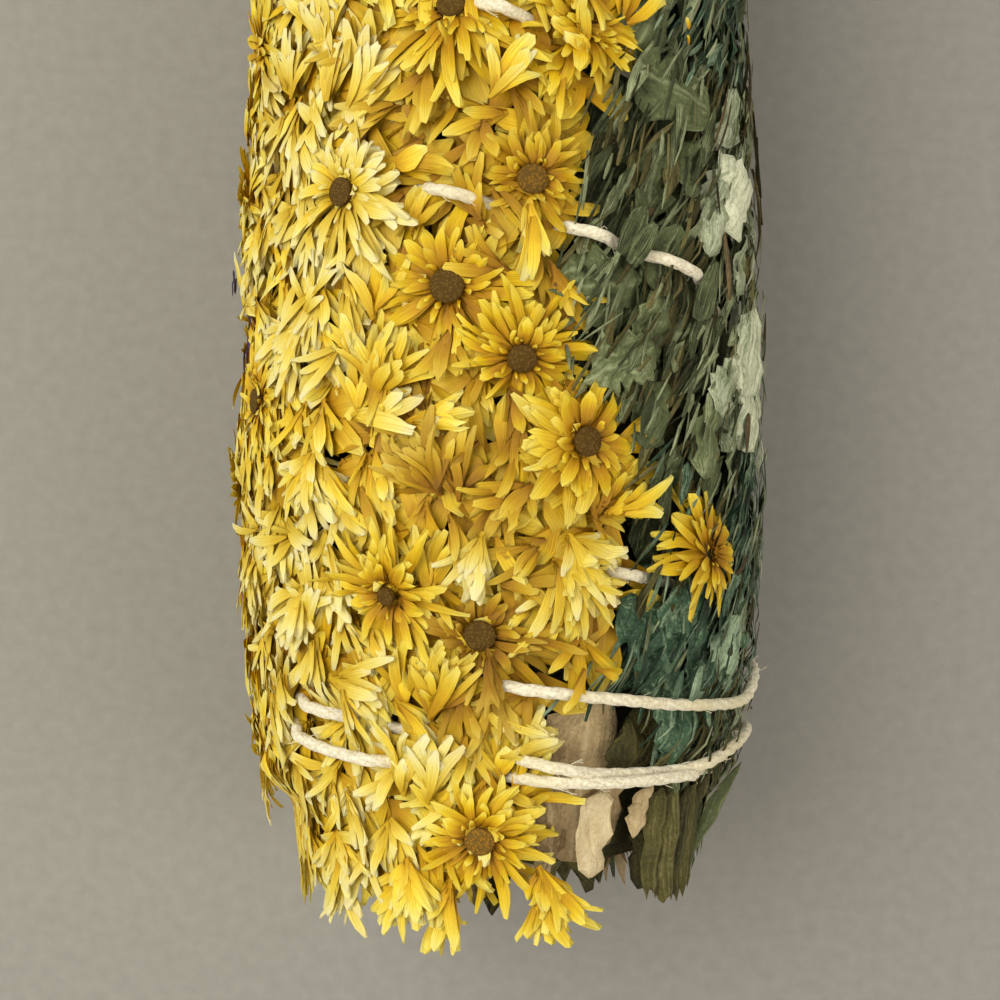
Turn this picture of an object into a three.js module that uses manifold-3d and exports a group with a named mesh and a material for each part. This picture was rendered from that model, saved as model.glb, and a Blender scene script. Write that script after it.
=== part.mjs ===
// A sage smudge stick: leafy sage stems wound with cotton string, with dried yellow blooms laid over one
// side and dyed and grey-green leaves over the other.
// Millimetres and degrees. The stick lies along Y, its cut butt end towards -Y, and rests on z = 0.
// A place on it is an angle from the top, growing towards +X, a distance along Y and a height over the sage.

import * as THREE from 'three';
import { mergeVertices } from 'three/addons/utils/BufferGeometryUtils.js';
import Module from 'manifold-3d';

const wasm = await Module();
wasm.setup();

// The bundle
const axisHeight = 17;
const buttEnd = -47;
const tipEnd = 47.3;
const sageProfile = [
  [-50, 12.4], [-41.5, 13.3], [-36, 14.1], [-23, 14.95], [-5, 14.6], [12, 13.6], [30, 13.6], [48, 12],
];
const nodeGap = 0.3;

// Sage stems
const outerStemCount = 5;
const middleStemRadius = 4.4;
const woodRadius = 1.3;
const woodProud = 1.6;
const stemStations = 6;

// Blooms and leaf sprays, both with an outer and an inner layer of blades round a hub
const keyBloom = {
  count: 7, outer: 8, inner: 5, width: 2.9, thickness: 0.75, rise: 8, part: 1.2,
  hubRadius: 1.3, hubHeight: 2.5, cap: 0.6, foot: 0.35, low: 1.0, high: 3.4,
};
const sprayBloom = { ...keyBloom, count: 5, outer: 10.5, inner: 6.4, width: 5, low: 1.75 };
const leafSprayForm = {
  count: 5, outer: 17, inner: 9.5, width: 10, thickness: 0.65, rise: 0, part: 1.15,
  hubRadius: 1.6, hubHeight: 0.85, cap: 0.4, foot: 0.2, low: 0.75, high: 0.95,
};
const underSprayForm = {
  ...leafSprayForm, hubRadius: 2.6, hubHeight: 2.4, cap: 1.4, rise: -12, low: 0.9, high: 3,
};
const bladeJitter = 0.055;
const bladeWave = 0.14;
const ribWeights = [0.28, 0.28, 0.2, 0.12, 0.12];
const innerWiden = 1.12;
const hubRoom = 0.5;
const overStringLow = 2.45;
const lowStringNear = 6;
const longestReach = 30;
const glancing = 0.02;
const yellowEdge = -147;
const underEdge = 146;
const buttReach = -52.4;
const tipReach = 51.9;
const stalkWidth = 0.9;

// Bare leaves at the butt end
const leafThickness = 0.7;
const leafLow = 0.6;
const leafTop = 1.7;

// Cotton string: two helical strands from a ring near the tip end to the wraps near the butt end
const stringRadius = 0.48;
const stringSides = 5;
const stringStep = 27.5;
const stringUnder = 1.2;
const stringOver = 3.85;
const stringGroove = 1.9;
const stringBelow = 0.95;
const stringClearance = 0.34;
const wallClearance = 0.46;
const pathChecks = 700;
const helixPitch = 30.5;
const helixAtTop = -5.3;
const secondPitch = 32.6;
const secondAtTop = 7;
const restGap = 0.32;

const unrollRadius = 17;
const acrossPerDegree = THREE.MathUtils.degToRad(unrollRadius);

let seed = 20260;
function random() {
  seed = (seed + 0x6d2b79f5) | 0;
  let t = Math.imul(seed ^ (seed >>> 15), 1 | seed);
  t = (t + Math.imul(t ^ (t >>> 7), 61 | t)) ^ t;
  return ((t ^ (t >>> 14)) >>> 0) / 4294967296;
}

function between(low, high) {
  return low + (high - low) * random();
}

function wrapAngle(angle) {
  return ((((angle + 180) % 360) + 360) % 360) - 180;
}

function wrapAcross(across) {
  return wrapAngle(across / acrossPerDegree) * acrossPerDegree;
}

function profileRadius(along) {
  const last = sageProfile.length - 1;
  if (along <= sageProfile[0][0]) return sageProfile[0][1];
  if (along >= sageProfile[last][0]) return sageProfile[last][1];
  const next = sageProfile.findIndex((station) => station[0] > along);
  const [fromAlong, fromRadius] = sageProfile[next - 1];
  const [toAlong, toRadius] = sageProfile[next];
  return THREE.MathUtils.mapLinear(along, fromAlong, toAlong, fromRadius, toRadius);
}

function place(angle, along, height) {
  const radius = profileRadius(along) + height;
  const turn = THREE.MathUtils.degToRad(angle);
  return new THREE.Vector3(radius * Math.sin(turn), along, axisHeight + radius * Math.cos(turn));
}

function placeUnrolled(point) {
  return place(point.across / acrossPerDegree, point.along, point.height);
}

// Solids

function solidFromMesh(vertProperties, triVerts) {
  return new wasm.Manifold(new wasm.Mesh({ numProp: 3, vertProperties, triVerts }));
}

function signedVolume(points, faces) {
  const volumes = faces.map(([a, b, c]) => points[a].dot(points[b].clone().cross(points[c])) / 6);
  return volumes.reduce((sum, volume) => sum + volume, 0);
}

function solidFromFaces(points, faces) {
  const outward = signedVolume(points, faces) > 0 ? faces : faces.map(([a, b, c]) => [a, c, b]);
  const flat = new Float32Array(points.flatMap((point) => [point.x, point.y, point.z]));
  return solidFromMesh(flat, new Uint32Array(outward.flat()));
}

function solidFromGeometry(geometry) {
  const bare = geometry.clone();
  bare.deleteAttribute('normal');
  bare.deleteAttribute('uv');
  const merged = mergeVertices(bare, 1e-5);
  const vertProperties = new Float32Array(merged.attributes.position.array);
  return solidFromMesh(vertProperties, new Uint32Array(merged.index.array));
}

function join(solids) {
  return solids.reduce((whole, solid) => whole.add(solid));
}

function largestBody(solid) {
  const bodies = solid.decompose();
  return bodies.reduce((best, body) => (body.volume() > best.volume() ? body : best));
}

// A closed skin over rings of points, each ring with the same count, and a fan over each end.
function solidFromRings(rings) {
  const sides = rings[0].length;
  const points = rings.flat();
  const faces = [];
  for (let ring = 0; ring + 1 < rings.length; ring += 1) {
    for (let side = 0; side < sides; side += 1) {
      const near = ring * sides + side;
      const nearNext = ring * sides + ((side + 1) % sides);
      faces.push([near, nearNext, near + sides]);
      faces.push([nearNext, nearNext + sides, near + sides]);
    }
  }
  const last = (rings.length - 1) * sides;
  for (let side = 1; side + 1 < sides; side += 1) {
    faces.push([0, side + 1, side]);
    faces.push([last, last + side, last + side + 1]);
  }
  return solidFromFaces(points, faces);
}

// A thin closed blade: both faces share the outline, and the rib stands over it on one face and under it
// on the other. The stations run from base to tip, each with a left and a right edge point.
function bladeSolid(base, stations, tip, thickness, toSpace) {
  const points = [base, tip];
  stations.forEach(({ left, right }) => {
    const middle = {
      across: (left.across + right.across) / 2,
      along: (left.along + right.along) / 2,
      height: (left.height + right.height) / 2,
    };
    points.push(left, right);
    points.push({ ...middle, height: middle.height + thickness / 2 });
    points.push({ ...middle, height: middle.height - thickness / 2 });
  });
  const faces = [];
  const addFace = (a, b, c) => {
    faces.push([a, b, c]);
  };
  [2, 3].forEach((face) => {
    const flip = face === 3;
    const put = (a, b, c) => (flip ? addFace(a, c, b) : addFace(a, b, c));
    const first = 2;
    put(0, first + 1, first + face);
    put(0, first + face, first);
    for (let step = 0; step + 1 < stations.length; step += 1) {
      const near = 2 + 4 * step;
      const far = near + 4;
      put(near + 1, far + 1, far + face);
      put(near + 1, far + face, near + face);
      put(near + face, far + face, far);
      put(near + face, far, near);
    }
    const end = 2 + 4 * (stations.length - 1);
    put(end + 1, 1, end + face);
    put(end + face, 1, end);
  });
  return solidFromFaces(points.map(toSpace), faces);
}

// Cotton string

const loneBloom = { angle: 47, along: -27.4, lean: 18, bearing: 20 };
const keyFrom = -78;
const keyTo = 30;
const keyTop = 10.5;
const leafSideFrom = 28;
const shownStretches = [
  { from: -19, to: -1, alongFrom: -7, alongTo: -2 },
  { from: 13, to: 30, alongFrom: -9, alongTo: -5 },
  { from: -62, to: 30, alongFrom: -43, alongTo: -36.6 },
  { from: 0, to: 30, alongFrom: -36.6, alongTo: -34 },
  { from: 22, to: 31, alongFrom: -30, alongTo: -26 },
  { from: -6, to: 6, alongFrom: 5, alongTo: 9 },
];

function isShown(angle, along) {
  return shownStretches.some(({ from, to, alongFrom, alongTo }) => {
    const isTurned = angle >= from && angle <= to;
    return isTurned && along >= alongFrom && along <= alongTo;
  });
}

function isKeyGround(angle, along) {
  return angle > keyFrom && angle < keyTo && along < keyTop;
}

function isLoneGround(angle, along) {
  return Math.abs(angle - loneBloom.angle) < 15 && Math.abs(along - loneBloom.along) < 5;
}

// The string runs over the leaves, in grooves between the rule-placed blooms, and under most of the others.
function stringHeight(angle, along) {
  const turn = wrapAngle(angle);
  if (Math.abs(turn) > underEdge) return stringBelow;
  if (isLoneGround(turn, along)) return stringUnder;
  if (turn > leafSideFrom || isShown(turn, along)) return stringOver;
  return isKeyGround(turn, along) ? stringUnder : stringGroove;
}

function helixPoints(fromAngle, toAngle, alongAtTop, pitch) {
  const points = [];
  const steps = Math.round((toAngle - fromAngle) / 20);
  for (let step = 0; step <= steps; step += 1) {
    const angle = fromAngle + ((toAngle - fromAngle) * step) / steps;
    points.push([angle, alongAtTop - (angle / 360) * pitch]);
  }
  return points;
}

const firstStrand = [
  [-580, 42.6],
  [-545, 41.0],
  ...helixPoints(-520, 300, helixAtTop, helixPitch),
  [345, -33.8],
  [362, -34.9],
  [381, -35.7],
  [405, -36.6],
  [430, -36.8],
  [444, -35.4],
  [500, -35.2],
  [580, -36.3],
  [661, -37.7],
  [675, -39.0],
  [692, -39.8],
  [725, -40.6],
  [770, -41.7],
  [800, -42.2],
  [850, -43.0],
  [897, -43.4],
  [935, -42.2],
];
const secondStrand = [
  [-578, 44.0],
  [-490, 43.4],
  [-410, 41.9],
  [-360, 38.9],
  ...helixPoints(-320, 345, secondAtTop, secondPitch),
  [386, -28.0],
  [440, -29.8],
  [540, -32.6],
  [640, -35.4],
  [670, -36.4],
  [690, -37.4],
  [725, -39.3],
  [746, -39.9],
  [772, -40.4],
  [820, -40.9],
  [860, -42.0],
  [903, -43.2],
  [938, -45.2],
];
const tipRing = [0, 60, 120, 180, 240, 300, 360].map((angle) => [angle - 215, 43.4 + 0.3 * Math.sin(angle)]);

function onStringPath(angle, along) {
  const spot = place(angle, along, stringHeight(angle, along));
  return new THREE.Vector3(angle * acrossPerDegree, spot.y, stringHeight(angle, along));
}

class StringPath extends THREE.Curve {
  constructor(points) {
    super();
    this.arcLengthDivisions = 1600;
    this.unrolled = new THREE.CatmullRomCurve3(points.map(([angle, along]) => onStringPath(angle, along)));
    this.unrolled.curveType = 'centripetal';
  }

  getPoint(t, target = new THREE.Vector3()) {
    const spot = this.unrolled.getPoint(t);
    const angle = spot.x / acrossPerDegree;
    const point = place(angle, spot.y, spot.z);
    const lowest = stringRadius + restGap;
    const fromAxis = axisHeight - point.z;
    if (point.z >= lowest) return target.copy(point);
    const shrink = (axisHeight - lowest) / fromAxis;
    return target.set(point.x * shrink, point.y, lowest);
  }
}

function ringOutline(radius, sides) {
  const outline = [];
  for (let side = 0; side < sides; side += 1) {
    const turn = (2 * Math.PI * side) / sides;
    outline.push(new THREE.Vector2(radius * Math.cos(turn), radius * Math.sin(turn)));
  }
  return new THREE.Shape(outline);
}

function tubeAlong(path, steps, radius) {
  const outline = ringOutline(radius, stringSides);
  const geometry = new THREE.ExtrudeGeometry(outline, { steps, bevelEnabled: false, extrudePath: path });
  return solidFromGeometry(geometry);
}

function knotAt(angle, along, height, radius) {
  const knot = new THREE.IcosahedronGeometry(radius, 0);
  knot.scale(1.25, 1, 0.85);
  const centre = place(angle, along, height);
  centre.z = Math.max(centre.z, radius + restGap);
  knot.translate(centre.x, centre.y, centre.z);
  return solidFromGeometry(knot);
}

const strands = [firstStrand, secondStrand, tipRing].map((points) => {
  const path = new StringPath(points);
  const turn = points[points.length - 1][0] - points[0][0];
  return { path, steps: Math.round(turn / stringStep) };
});

function stringSolid(radius) {
  const tubes = strands.map(({ path, steps }) => tubeAlong(path, steps, radius));
  const grow = radius - stringRadius;
  const knots = [
    knotAt(-217, 43.5, stringOver, 1.3 + grow),
    knotAt(180, -43.3, stringBelow, 1.3 + grow),
  ];
  return join([...tubes, ...knots]);
}

// Places along the string that blades stop short of, because it shows there or lies between them
const stringWall = strands.flatMap(({ path }) => {
  const spots = [];
  for (let step = 0; step <= pathChecks; step += 1) {
    const spot = path.unrolled.getPoint(step / pathChecks);
    const angle = wrapAngle(spot.x / acrossPerDegree);
    const showsBetweenBlooms = !isKeyGround(angle, spot.y) || isShown(angle, spot.y);
    const isWall = angle < leafSideFrom ? showsBetweenBlooms : angle > underEdge;
    if (isWall) spots.push({ across: wrapAcross(spot.x), along: spot.y });
  }
  return spots;
});

// Places of the blooms and leaves. A bloom leans towards its bearing: 0 is +X, 90 is the tip end.
const keyBlooms = [
  { angle: -33, along: -4.2, lean: 12, bearing: 200 },
  { angle: -10.2, along: -10.4, lean: 4, bearing: 180 },
  { angle: 4.2, along: -15.2, lean: 18, bearing: 270 },
  { angle: 16.7, along: -20, lean: 16, bearing: 330 },
  { angle: 6.5, along: -2.7, lean: 14, bearing: 250 },
  { angle: -4, along: -31.6, lean: 6, bearing: 90 },
  { angle: -4.4, along: -45.2, lean: 14, bearing: 270 },
  { angle: -63, along: -16.8, lean: 8, bearing: 180 },
  { angle: -23, along: -29.3, lean: 15, bearing: 240 },
  { angle: -10, along: 3.5, lean: 16, bearing: 270 },
  { angle: 18, along: 5.4, lean: 12, bearing: 70 },
  { angle: -40, along: 6.2, lean: 14, bearing: 120 },
  { angle: -45, along: -12.4, lean: 16, bearing: 225 },
  { angle: -40, along: -21.3, lean: 18, bearing: 260 },
  { angle: -14, along: -35.2, lean: 16, bearing: 100 },
  { angle: -40, along: -46.2, lean: 16, bearing: 280 },
  { angle: 12, along: -28.4, lean: 14, bearing: 300 },
  { angle: -70, along: -41.5, lean: 14, bearing: 200 },
  { angle: -65, along: -28, lean: 16, bearing: 260 },
  { angle: -13, along: -22.4, lean: 18, bearing: 110 },
  { angle: -45, along: -30, lean: 16, bearing: 230 },
  { angle: -25, along: -15.8, lean: 16, bearing: 80 },
  { angle: 11, along: -48.2, lean: 16, bearing: 300 },
  { angle: -62, along: -6, lean: 14, bearing: 180 },
  { angle: -21, along: -47.6, lean: 14, bearing: 265 },
  loneBloom,
];

// Rule-placed blooms keep to rows that run round the stick beside the first strand of the string.
const bloomRows = [
  { spray: 1, beside: [-34.7], angles: [-132, -98] },
  { spray: 2, beside: [-25], angles: [-132, -98] },
  { spray: 3, beside: [-14.8, -4.8], angles: [-132, -98] },
  { spray: 4, beside: [6.5], angles: [-132, -98, -70] },
  { spray: 5, beside: [17.6, 25.9], angles: [-129, -84, -39, 7] },
  { spray: 6, beside: [36.3], angles: [-129, -84, -39, 7] },
];
const endRows = [
  { spray: 7, rows: [-41.5, -48], angles: [-132, -98] },
  { spray: 8, rows: [47.4], angles: [-129, -84, -39, 7] },
];

const leafSprays = [
  { name: 'grey_leaves_1', colour: 'greyLeaf', places: [[36, 2]] },
  { name: 'mint_leaves_1', colour: 'mintLeaf', places: [[70, -1]] },
  { name: 'grey_leaves_2', colour: 'greyLeaf', places: [[28, -12]] },
  { name: 'mint_leaves_2', colour: 'mintLeaf', places: [[63, -16]] },
  { name: 'grey_leaves_3', colour: 'greyLeaf', places: [[42, -19]] },
  { name: 'teal_leaves_1', colour: 'tealLeaf', places: [[80, -29]] },
  { name: 'teal_leaves_2', colour: 'tealLeaf', places: [[43, -36]] },
  { name: 'teal_leaves_3', colour: 'tealLeaf', places: [[58, 18]] },
  { name: 'grey_leaves_4', colour: 'greyLeaf', places: [[54, 38]] },
  { name: 'olive_leaves', colour: 'oliveLeaf', places: [[113, -39], [116, -14], [104, 11], [100, 36]] },
];
const underSprays = [
  { name: 'under_leaves_1', colour: 'oliveLeaf', places: [[170, -26.8]] },
  { name: 'under_leaves_2', colour: 'oliveLeaf', places: [[-170, -15]] },
  { name: 'under_leaves_3', colour: 'oliveLeaf', places: [[170, 0.5]] },
  { name: 'under_leaves_4', colour: 'oliveLeaf', places: [[-170, 16.6]] },
  { name: 'under_leaves_5', colour: 'oliveLeaf', places: [[171, 31.8]] },
];
const baseLeaves = [
  { name: 'pale_base_leaf', colour: 'paleLeaf', angle: 21, along: -41.5, count: 2, spacing: 3.4, width: 5.6 },
  { name: 'folded_base_leaf', colour: 'oliveLeaf', angle: 56, along: -45, count: 4, spacing: 3, width: 4.4 },
  { name: 'thin_base_leaf', colour: 'greyLeaf', angle: 82, along: -44.5, count: 2, spacing: 2.2, width: 3 },
];

const sites = [];

function addSite(entry) {
  sites.push({ lean: 0, bearing: 0, ...entry, across: wrapAngle(entry.angle) * acrossPerDegree });
}

function addRuleBloom(spray, angle, along) {
  const lean = between(4, 12);
  const bearing = between(0, 360);
  addSite({ node: `bloom_spray_${spray}`, kind: 'sprayBloom', angle, along, lean, bearing });
}

keyBlooms.forEach((bloom, index) => {
  addSite({ ...bloom, node: `yellow_bloom_${String(index + 1).padStart(2, '0')}`, kind: 'keyBloom' });
});
bloomRows.forEach(({ spray, beside, angles }) => {
  beside.forEach((offset, row) => {
    const order = row % 2 === 0 ? angles : [...angles].reverse();
    order.forEach((angle) => addRuleBloom(spray, angle, helixAtTop + offset - (angle / 360) * helixPitch));
  });
});
endRows.forEach(({ spray, rows, angles }) => {
  rows.forEach((along, row) => {
    const order = row % 2 === 0 ? angles : [...angles].reverse();
    order.forEach((angle) => addRuleBloom(spray, angle, along + between(-0.6, 0.6)));
  });
});
leafSprays.forEach(({ name, colour, places }) => {
  places.forEach(([angle, along]) => addSite({ node: name, kind: 'leafSpray', colour, angle, along }));
});
underSprays.forEach(({ name, colour, places }) => {
  places.forEach(([angle, along]) => addSite({ node: name, kind: 'underSpray', colour, angle, along }));
});
baseLeaves.forEach((leaf) => addSite({ ...leaf, node: leaf.name, kind: 'baseLeaf' }));
addSite({ node: 'violet_sprig', kind: 'violetSprig', colour: 'violet', angle: -86, along: -11 });

const forms = {
  keyBloom,
  sprayBloom,
  leafSpray: leafSprayForm,
  underSpray: underSprayForm,
  violetSprig: { ...keyBloom, count: 5, outer: 4.2, inner: 2.8, width: 1.8, hubRadius: 1 },
};

// How far a node may reach from its own place: half way to each neighbour, and short of a string that shows.
function reachFrom(site, bearing) {
  const toAcross = Math.cos(bearing);
  const toAlong = Math.sin(bearing);
  let reach = longestReach;
  const shorten = (limit) => {
    reach = Math.min(reach, limit);
  };
  sites.forEach((other) => {
    if (other === site) return;
    const across = wrapAcross(other.across - site.across);
    const along = other.along - site.along;
    const distance = Math.hypot(across, along);
    const towards = (toAcross * across + toAlong * along) / distance;
    if (towards > glancing) shorten((distance / 2 - nodeGap * 0.6) / towards);
  });
  if (site.kind !== 'leafSpray' && site.kind !== 'baseLeaf') {
    const clear = stringRadius + wallClearance;
    stringWall.forEach((spot) => {
      const across = wrapAcross(spot.across - site.across);
      const along = spot.along - site.along;
      const ahead = toAcross * across + toAlong * along;
      const aside = Math.abs(toAcross * along - toAlong * across);
      if (ahead > 0 && aside < clear) shorten(ahead - Math.sqrt(clear * clear - aside * aside));
    });
  }
  if (site.kind === 'sprayBloom' && toAcross < -glancing) {
    shorten((yellowEdge * acrossPerDegree - site.across) / toAcross);
  }
  if (site.kind === 'leafSpray' && toAcross > glancing) {
    shorten((underEdge * acrossPerDegree - site.across) / toAcross);
  }
  if (toAlong < -glancing) shorten((buttReach - site.along) / toAlong);
  if (toAlong > glancing) shorten((tipReach - site.along) / toAlong);
  return reach;
}

// A point beside a site, pulled in where it would leave the site's own ground.
function besideSite(site, across, along, height) {
  const distance = Math.hypot(across, along);
  const hub = forms[site.kind]?.hubRadius ?? 0;
  const isOnHub = distance <= hub;
  const reach = isOnHub ? distance : Math.max(hub + hubRoom, reachFrom(site, Math.atan2(along, across)));
  const scale = distance > reach ? reach / distance : 1;
  return { across: site.across + across * scale, along: site.along + along * scale, height };
}

// Sprays of blades

function lowStringWithin(site, distance) {
  return strands.some(({ path }) => {
    for (let step = 0; step <= pathChecks; step += 1) {
      const spot = path.unrolled.getPoint(step / pathChecks);
      const away = Math.hypot(wrapAcross(spot.x - site.across), spot.y - site.along);
      if (away < distance && spot.z < stringGroove) return true;
    }
    return false;
  });
}

// A bloom that lies over the string has its calyx end just above it.
function footHeight(site, form) {
  const lies = lowStringWithin(site, stringRadius + stringClearance + form.hubRadius);
  return lies ? stringUnder + stringRadius + stringClearance : form.foot;
}

// Height of the outer layer beside a spray's middle: it rises from the hub and leans with its face.
function layerHeight(site, form, low, across, along) {
  const distance = Math.hypot(across, along);
  const bearing = THREE.MathUtils.degToRad(site.bearing);
  const down = across * Math.cos(bearing) + along * Math.sin(bearing);
  const rise = distance * Math.tan(THREE.MathUtils.degToRad(form.rise));
  const lean = down * Math.tan(THREE.MathUtils.degToRad(site.lean));
  return THREE.MathUtils.clamp(form.hubHeight + rise - lean, low, form.high);
}

// Two layers of blades round one hub, as a single closed skin. Each blade has an outline that both its
// faces share, a rib over it and a rib under it. The inner layer stands over the gaps of the outer one.
function spraySolid(site) {
  const form = forms[site.kind];
  const isBloom = form.rise > 0;
  const low = isBloom && lowStringWithin(site, lowStringNear) ? overStringLow : form.low;
  const pitch = (2 * Math.PI) / form.count;
  const start = between(0, pitch);
  const foot = footHeight(site, form);
  const points = [];
  const add = (turn, radius, side, lift) => {
    const across = radius * Math.cos(turn) - side * Math.sin(turn);
    const along = radius * Math.sin(turn) + side * Math.cos(turn);
    const spot = besideSite(site, across, along, 0);
    spot.height = layerHeight(site, form, low, spot.across - site.across, spot.along - site.along) + lift;
    points.push(spot);
    return points.length - 1;
  };
  const addRibs = (outline) => {
    const mean = (key) => {
      const parts = ribWeights.map((weight, index) => weight * points[outline[index]][key]);
      return parts.reduce((sum, part) => sum + part, 0);
    };
    const middle = { across: mean('across'), along: mean('along') };
    points.push({ ...middle, height: mean('height') + form.thickness / 2 });
    points.push({ ...middle, height: mean('height') - form.thickness / 2 });
    return [points.length - 2, points.length - 1];
  };
  const addBlade = (turn, length, width, lift, roots) => {
    const bent = turn + between(-bladeJitter, bladeJitter);
    const reach = length * between(0.88, 1.06);
    const wave = between(-bladeWave, bladeWave);
    const right = add(bent, reach * 0.6, -width / 2, lift + wave);
    const left = add(bent, reach * 0.6, width / 2, lift - wave);
    const tip = add(bent, reach, 0, lift + between(0, 0.3));
    const [over, under] = addRibs([left, right, tip, ...roots]);
    return { right, left, tip, over, under };
  };
  const innerWidth = (form.width * form.inner * innerWiden) / form.outer;
  const heel = [];
  const root = [];
  const ledge = [];
  const cap = [];
  const outer = [];
  const inner = [];
  for (let blade = 0; blade < form.count; blade += 1) {
    const turn = start + pitch * blade;
    const across = form.hubRadius * 0.55 * Math.cos(turn);
    const along = form.hubRadius * 0.55 * Math.sin(turn);
    points.push({ across: site.across + across, along: site.along + along, height: foot });
    heel.push(points.length - 1);
    root.push(add(turn - pitch / 2, form.hubRadius, 0, 0));
    ledge.push(add(turn, form.hubRadius * 0.92, 0, form.part * 0.55));
    cap.push(add(turn, form.hubRadius * 0.8, 0, form.part * 0.55 + form.cap));
  }
  for (let blade = 0; blade < form.count; blade += 1) {
    const turn = start + pitch * blade;
    const next = (blade + 1) % form.count;
    outer.push(addBlade(turn, form.outer, form.width, 0, [root[blade], root[next]]));
    inner.push(addBlade(turn + pitch / 2, form.inner, innerWidth, form.part, [ledge[blade], ledge[next]]));
  }
  const faces = [];
  for (let blade = 0; blade < form.count; blade += 1) {
    const next = (blade + 1) % form.count;
    const lower = outer[blade];
    const upper = inner[blade];
    faces.push([lower.over, root[blade], lower.right], [lower.over, lower.right, lower.tip]);
    faces.push([lower.over, lower.tip, lower.left], [lower.over, lower.left, root[next]]);
    faces.push([lower.over, root[next], ledge[blade]], [lower.over, ledge[blade], root[blade]]);
    faces.push([ledge[blade], root[next], ledge[next]]);
    faces.push([upper.under, upper.right, ledge[blade]], [upper.under, upper.tip, upper.right]);
    faces.push([upper.under, upper.left, upper.tip], [upper.under, ledge[next], upper.left]);
    faces.push([upper.under, ledge[blade], ledge[next]]);
    faces.push([upper.over, ledge[blade], upper.right], [upper.over, upper.right, upper.tip]);
    faces.push([upper.over, upper.tip, upper.left], [upper.over, upper.left, ledge[next]]);
    faces.push([upper.over, ledge[next], cap[next]], [upper.over, cap[next], cap[blade]]);
    faces.push([upper.over, cap[blade], ledge[blade]]);
    faces.push([lower.under, lower.right, root[blade]], [lower.under, lower.tip, lower.right]);
    faces.push([lower.under, lower.left, lower.tip], [lower.under, root[next], lower.left]);
    faces.push([lower.under, root[blade], heel[blade]], [lower.under, heel[blade], root[next]]);
    faces.push([heel[blade], heel[next], root[next]]);
  }
  for (let side = 1; side + 1 < form.count; side += 1) {
    faces.push([cap[0], cap[side], cap[side + 1]]);
    faces.push([heel[0], heel[side + 1], heel[side]]);
  }
  return solidFromFaces(points.map(placeUnrolled), faces);
}

// A dried stalk that lies along the sage and joins the hearts of one spray
function stalkBetween(from, to) {
  const rings = [];
  const reach = wrapAcross(to.across - from.across);
  const steps = Math.max(1, Math.round(Math.abs(reach) / 5));
  const heading = Math.atan2(to.along - from.along, reach);
  const half = stalkWidth / 2;
  const shift = { across: -Math.sin(heading) * half, along: Math.cos(heading) * half };
  for (let step = 0; step <= steps; step += 1) {
    const part = step / steps;
    const across = from.across + reach * part;
    const along = THREE.MathUtils.lerp(from.along, to.along, part);
    const foot = keyBloom.foot;
    rings.push([
      placeUnrolled({ across: across - shift.across, along: along - shift.along, height: foot }),
      placeUnrolled({ across: across + shift.across, along: along + shift.along, height: foot }),
      placeUnrolled({ across, along, height: foot + stalkWidth * 0.8 }),
    ]);
  }
  return solidFromRings(rings);
}

// Leaves of the bare butt end run along the stick and wave at their edges.
function baseLeaf(site) {
  const leaves = [];
  for (let leaf = 0; leaf < site.count; leaf += 1) {
    const aside = (leaf - (site.count - 1) / 2) * site.spacing;
    const lift = leafLow + 0.3 * (leaf % 2);
    const at = (part, side, rise) => {
      const spot = besideSite(site, aside + side, 6.4 - 13.5 * part, lift + rise);
      spot.height = THREE.MathUtils.clamp(spot.height, leafLow, leafTop);
      return spot;
    };
    const stations = [0.25, 0.6, 0.88].map((part, index) => {
      const half = (site.width / 2) * [0.85, 1, 0.66][index];
      const wave = [0.2, -0.25, 0.2][index];
      return { left: at(part, half, wave), right: at(part, -half, -wave) };
    });
    const tip = at(1 - 0.06 * (leaf % 2), 0, 0.3);
    leaves.push(bladeSolid(at(0, 0, 0), stations, tip, leafThickness, placeUnrolled));
  }
  return join(leaves);
}

// Sage stems

function axisPoint(angle, fromAxis, along) {
  const turn = THREE.MathUtils.degToRad(angle);
  return new THREE.Vector3(fromAxis * Math.sin(turn), along, axisHeight + fromAxis * Math.cos(turn));
}

function stemMass(middleAngle) {
  const spread = 180 / outerStemCount;
  const rings = [];
  for (let station = 0; station <= stemStations; station += 1) {
    const along = THREE.MathUtils.lerp(buttEnd, tipEnd, station / stemStations);
    const ring = [-1, -0.5, 0, 0.5, 1].map((part) => {
      const angle = middleAngle + part * spread;
      const dip = 0.3 * (1 + Math.sin(along * 0.55 + angle * 1.7));
      return place(angle, along + 0.6 * Math.sin(3 * angle + station), -dip);
    });
    ring.push(axisPoint(middleAngle + spread, middleStemRadius * 0.8, along));
    ring.push(axisPoint(middleAngle - spread, middleStemRadius * 0.8, along));
    rings.push(ring);
  }
  return solidFromRings(rings);
}

function middleMass() {
  const rings = [buttEnd + 0.8, tipEnd - 0.8].map((along) => {
    const ring = [];
    for (let side = 0; side < outerStemCount; side += 1) {
      ring.push(axisPoint((360 * (side + 0.5)) / outerStemCount, middleStemRadius * 1.3, along));
    }
    return ring;
  });
  return solidFromRings(rings);
}

function woodyStem(angle, fromAxis) {
  const cylinder = new THREE.CylinderGeometry(woodRadius, woodRadius, tipEnd - buttEnd + 2 * woodProud, 6);
  const centre = axisPoint(angle, fromAxis, (tipEnd + buttEnd) / 2);
  cylinder.translate(centre.x, centre.y, centre.z);
  return solidFromGeometry(cylinder);
}

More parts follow.
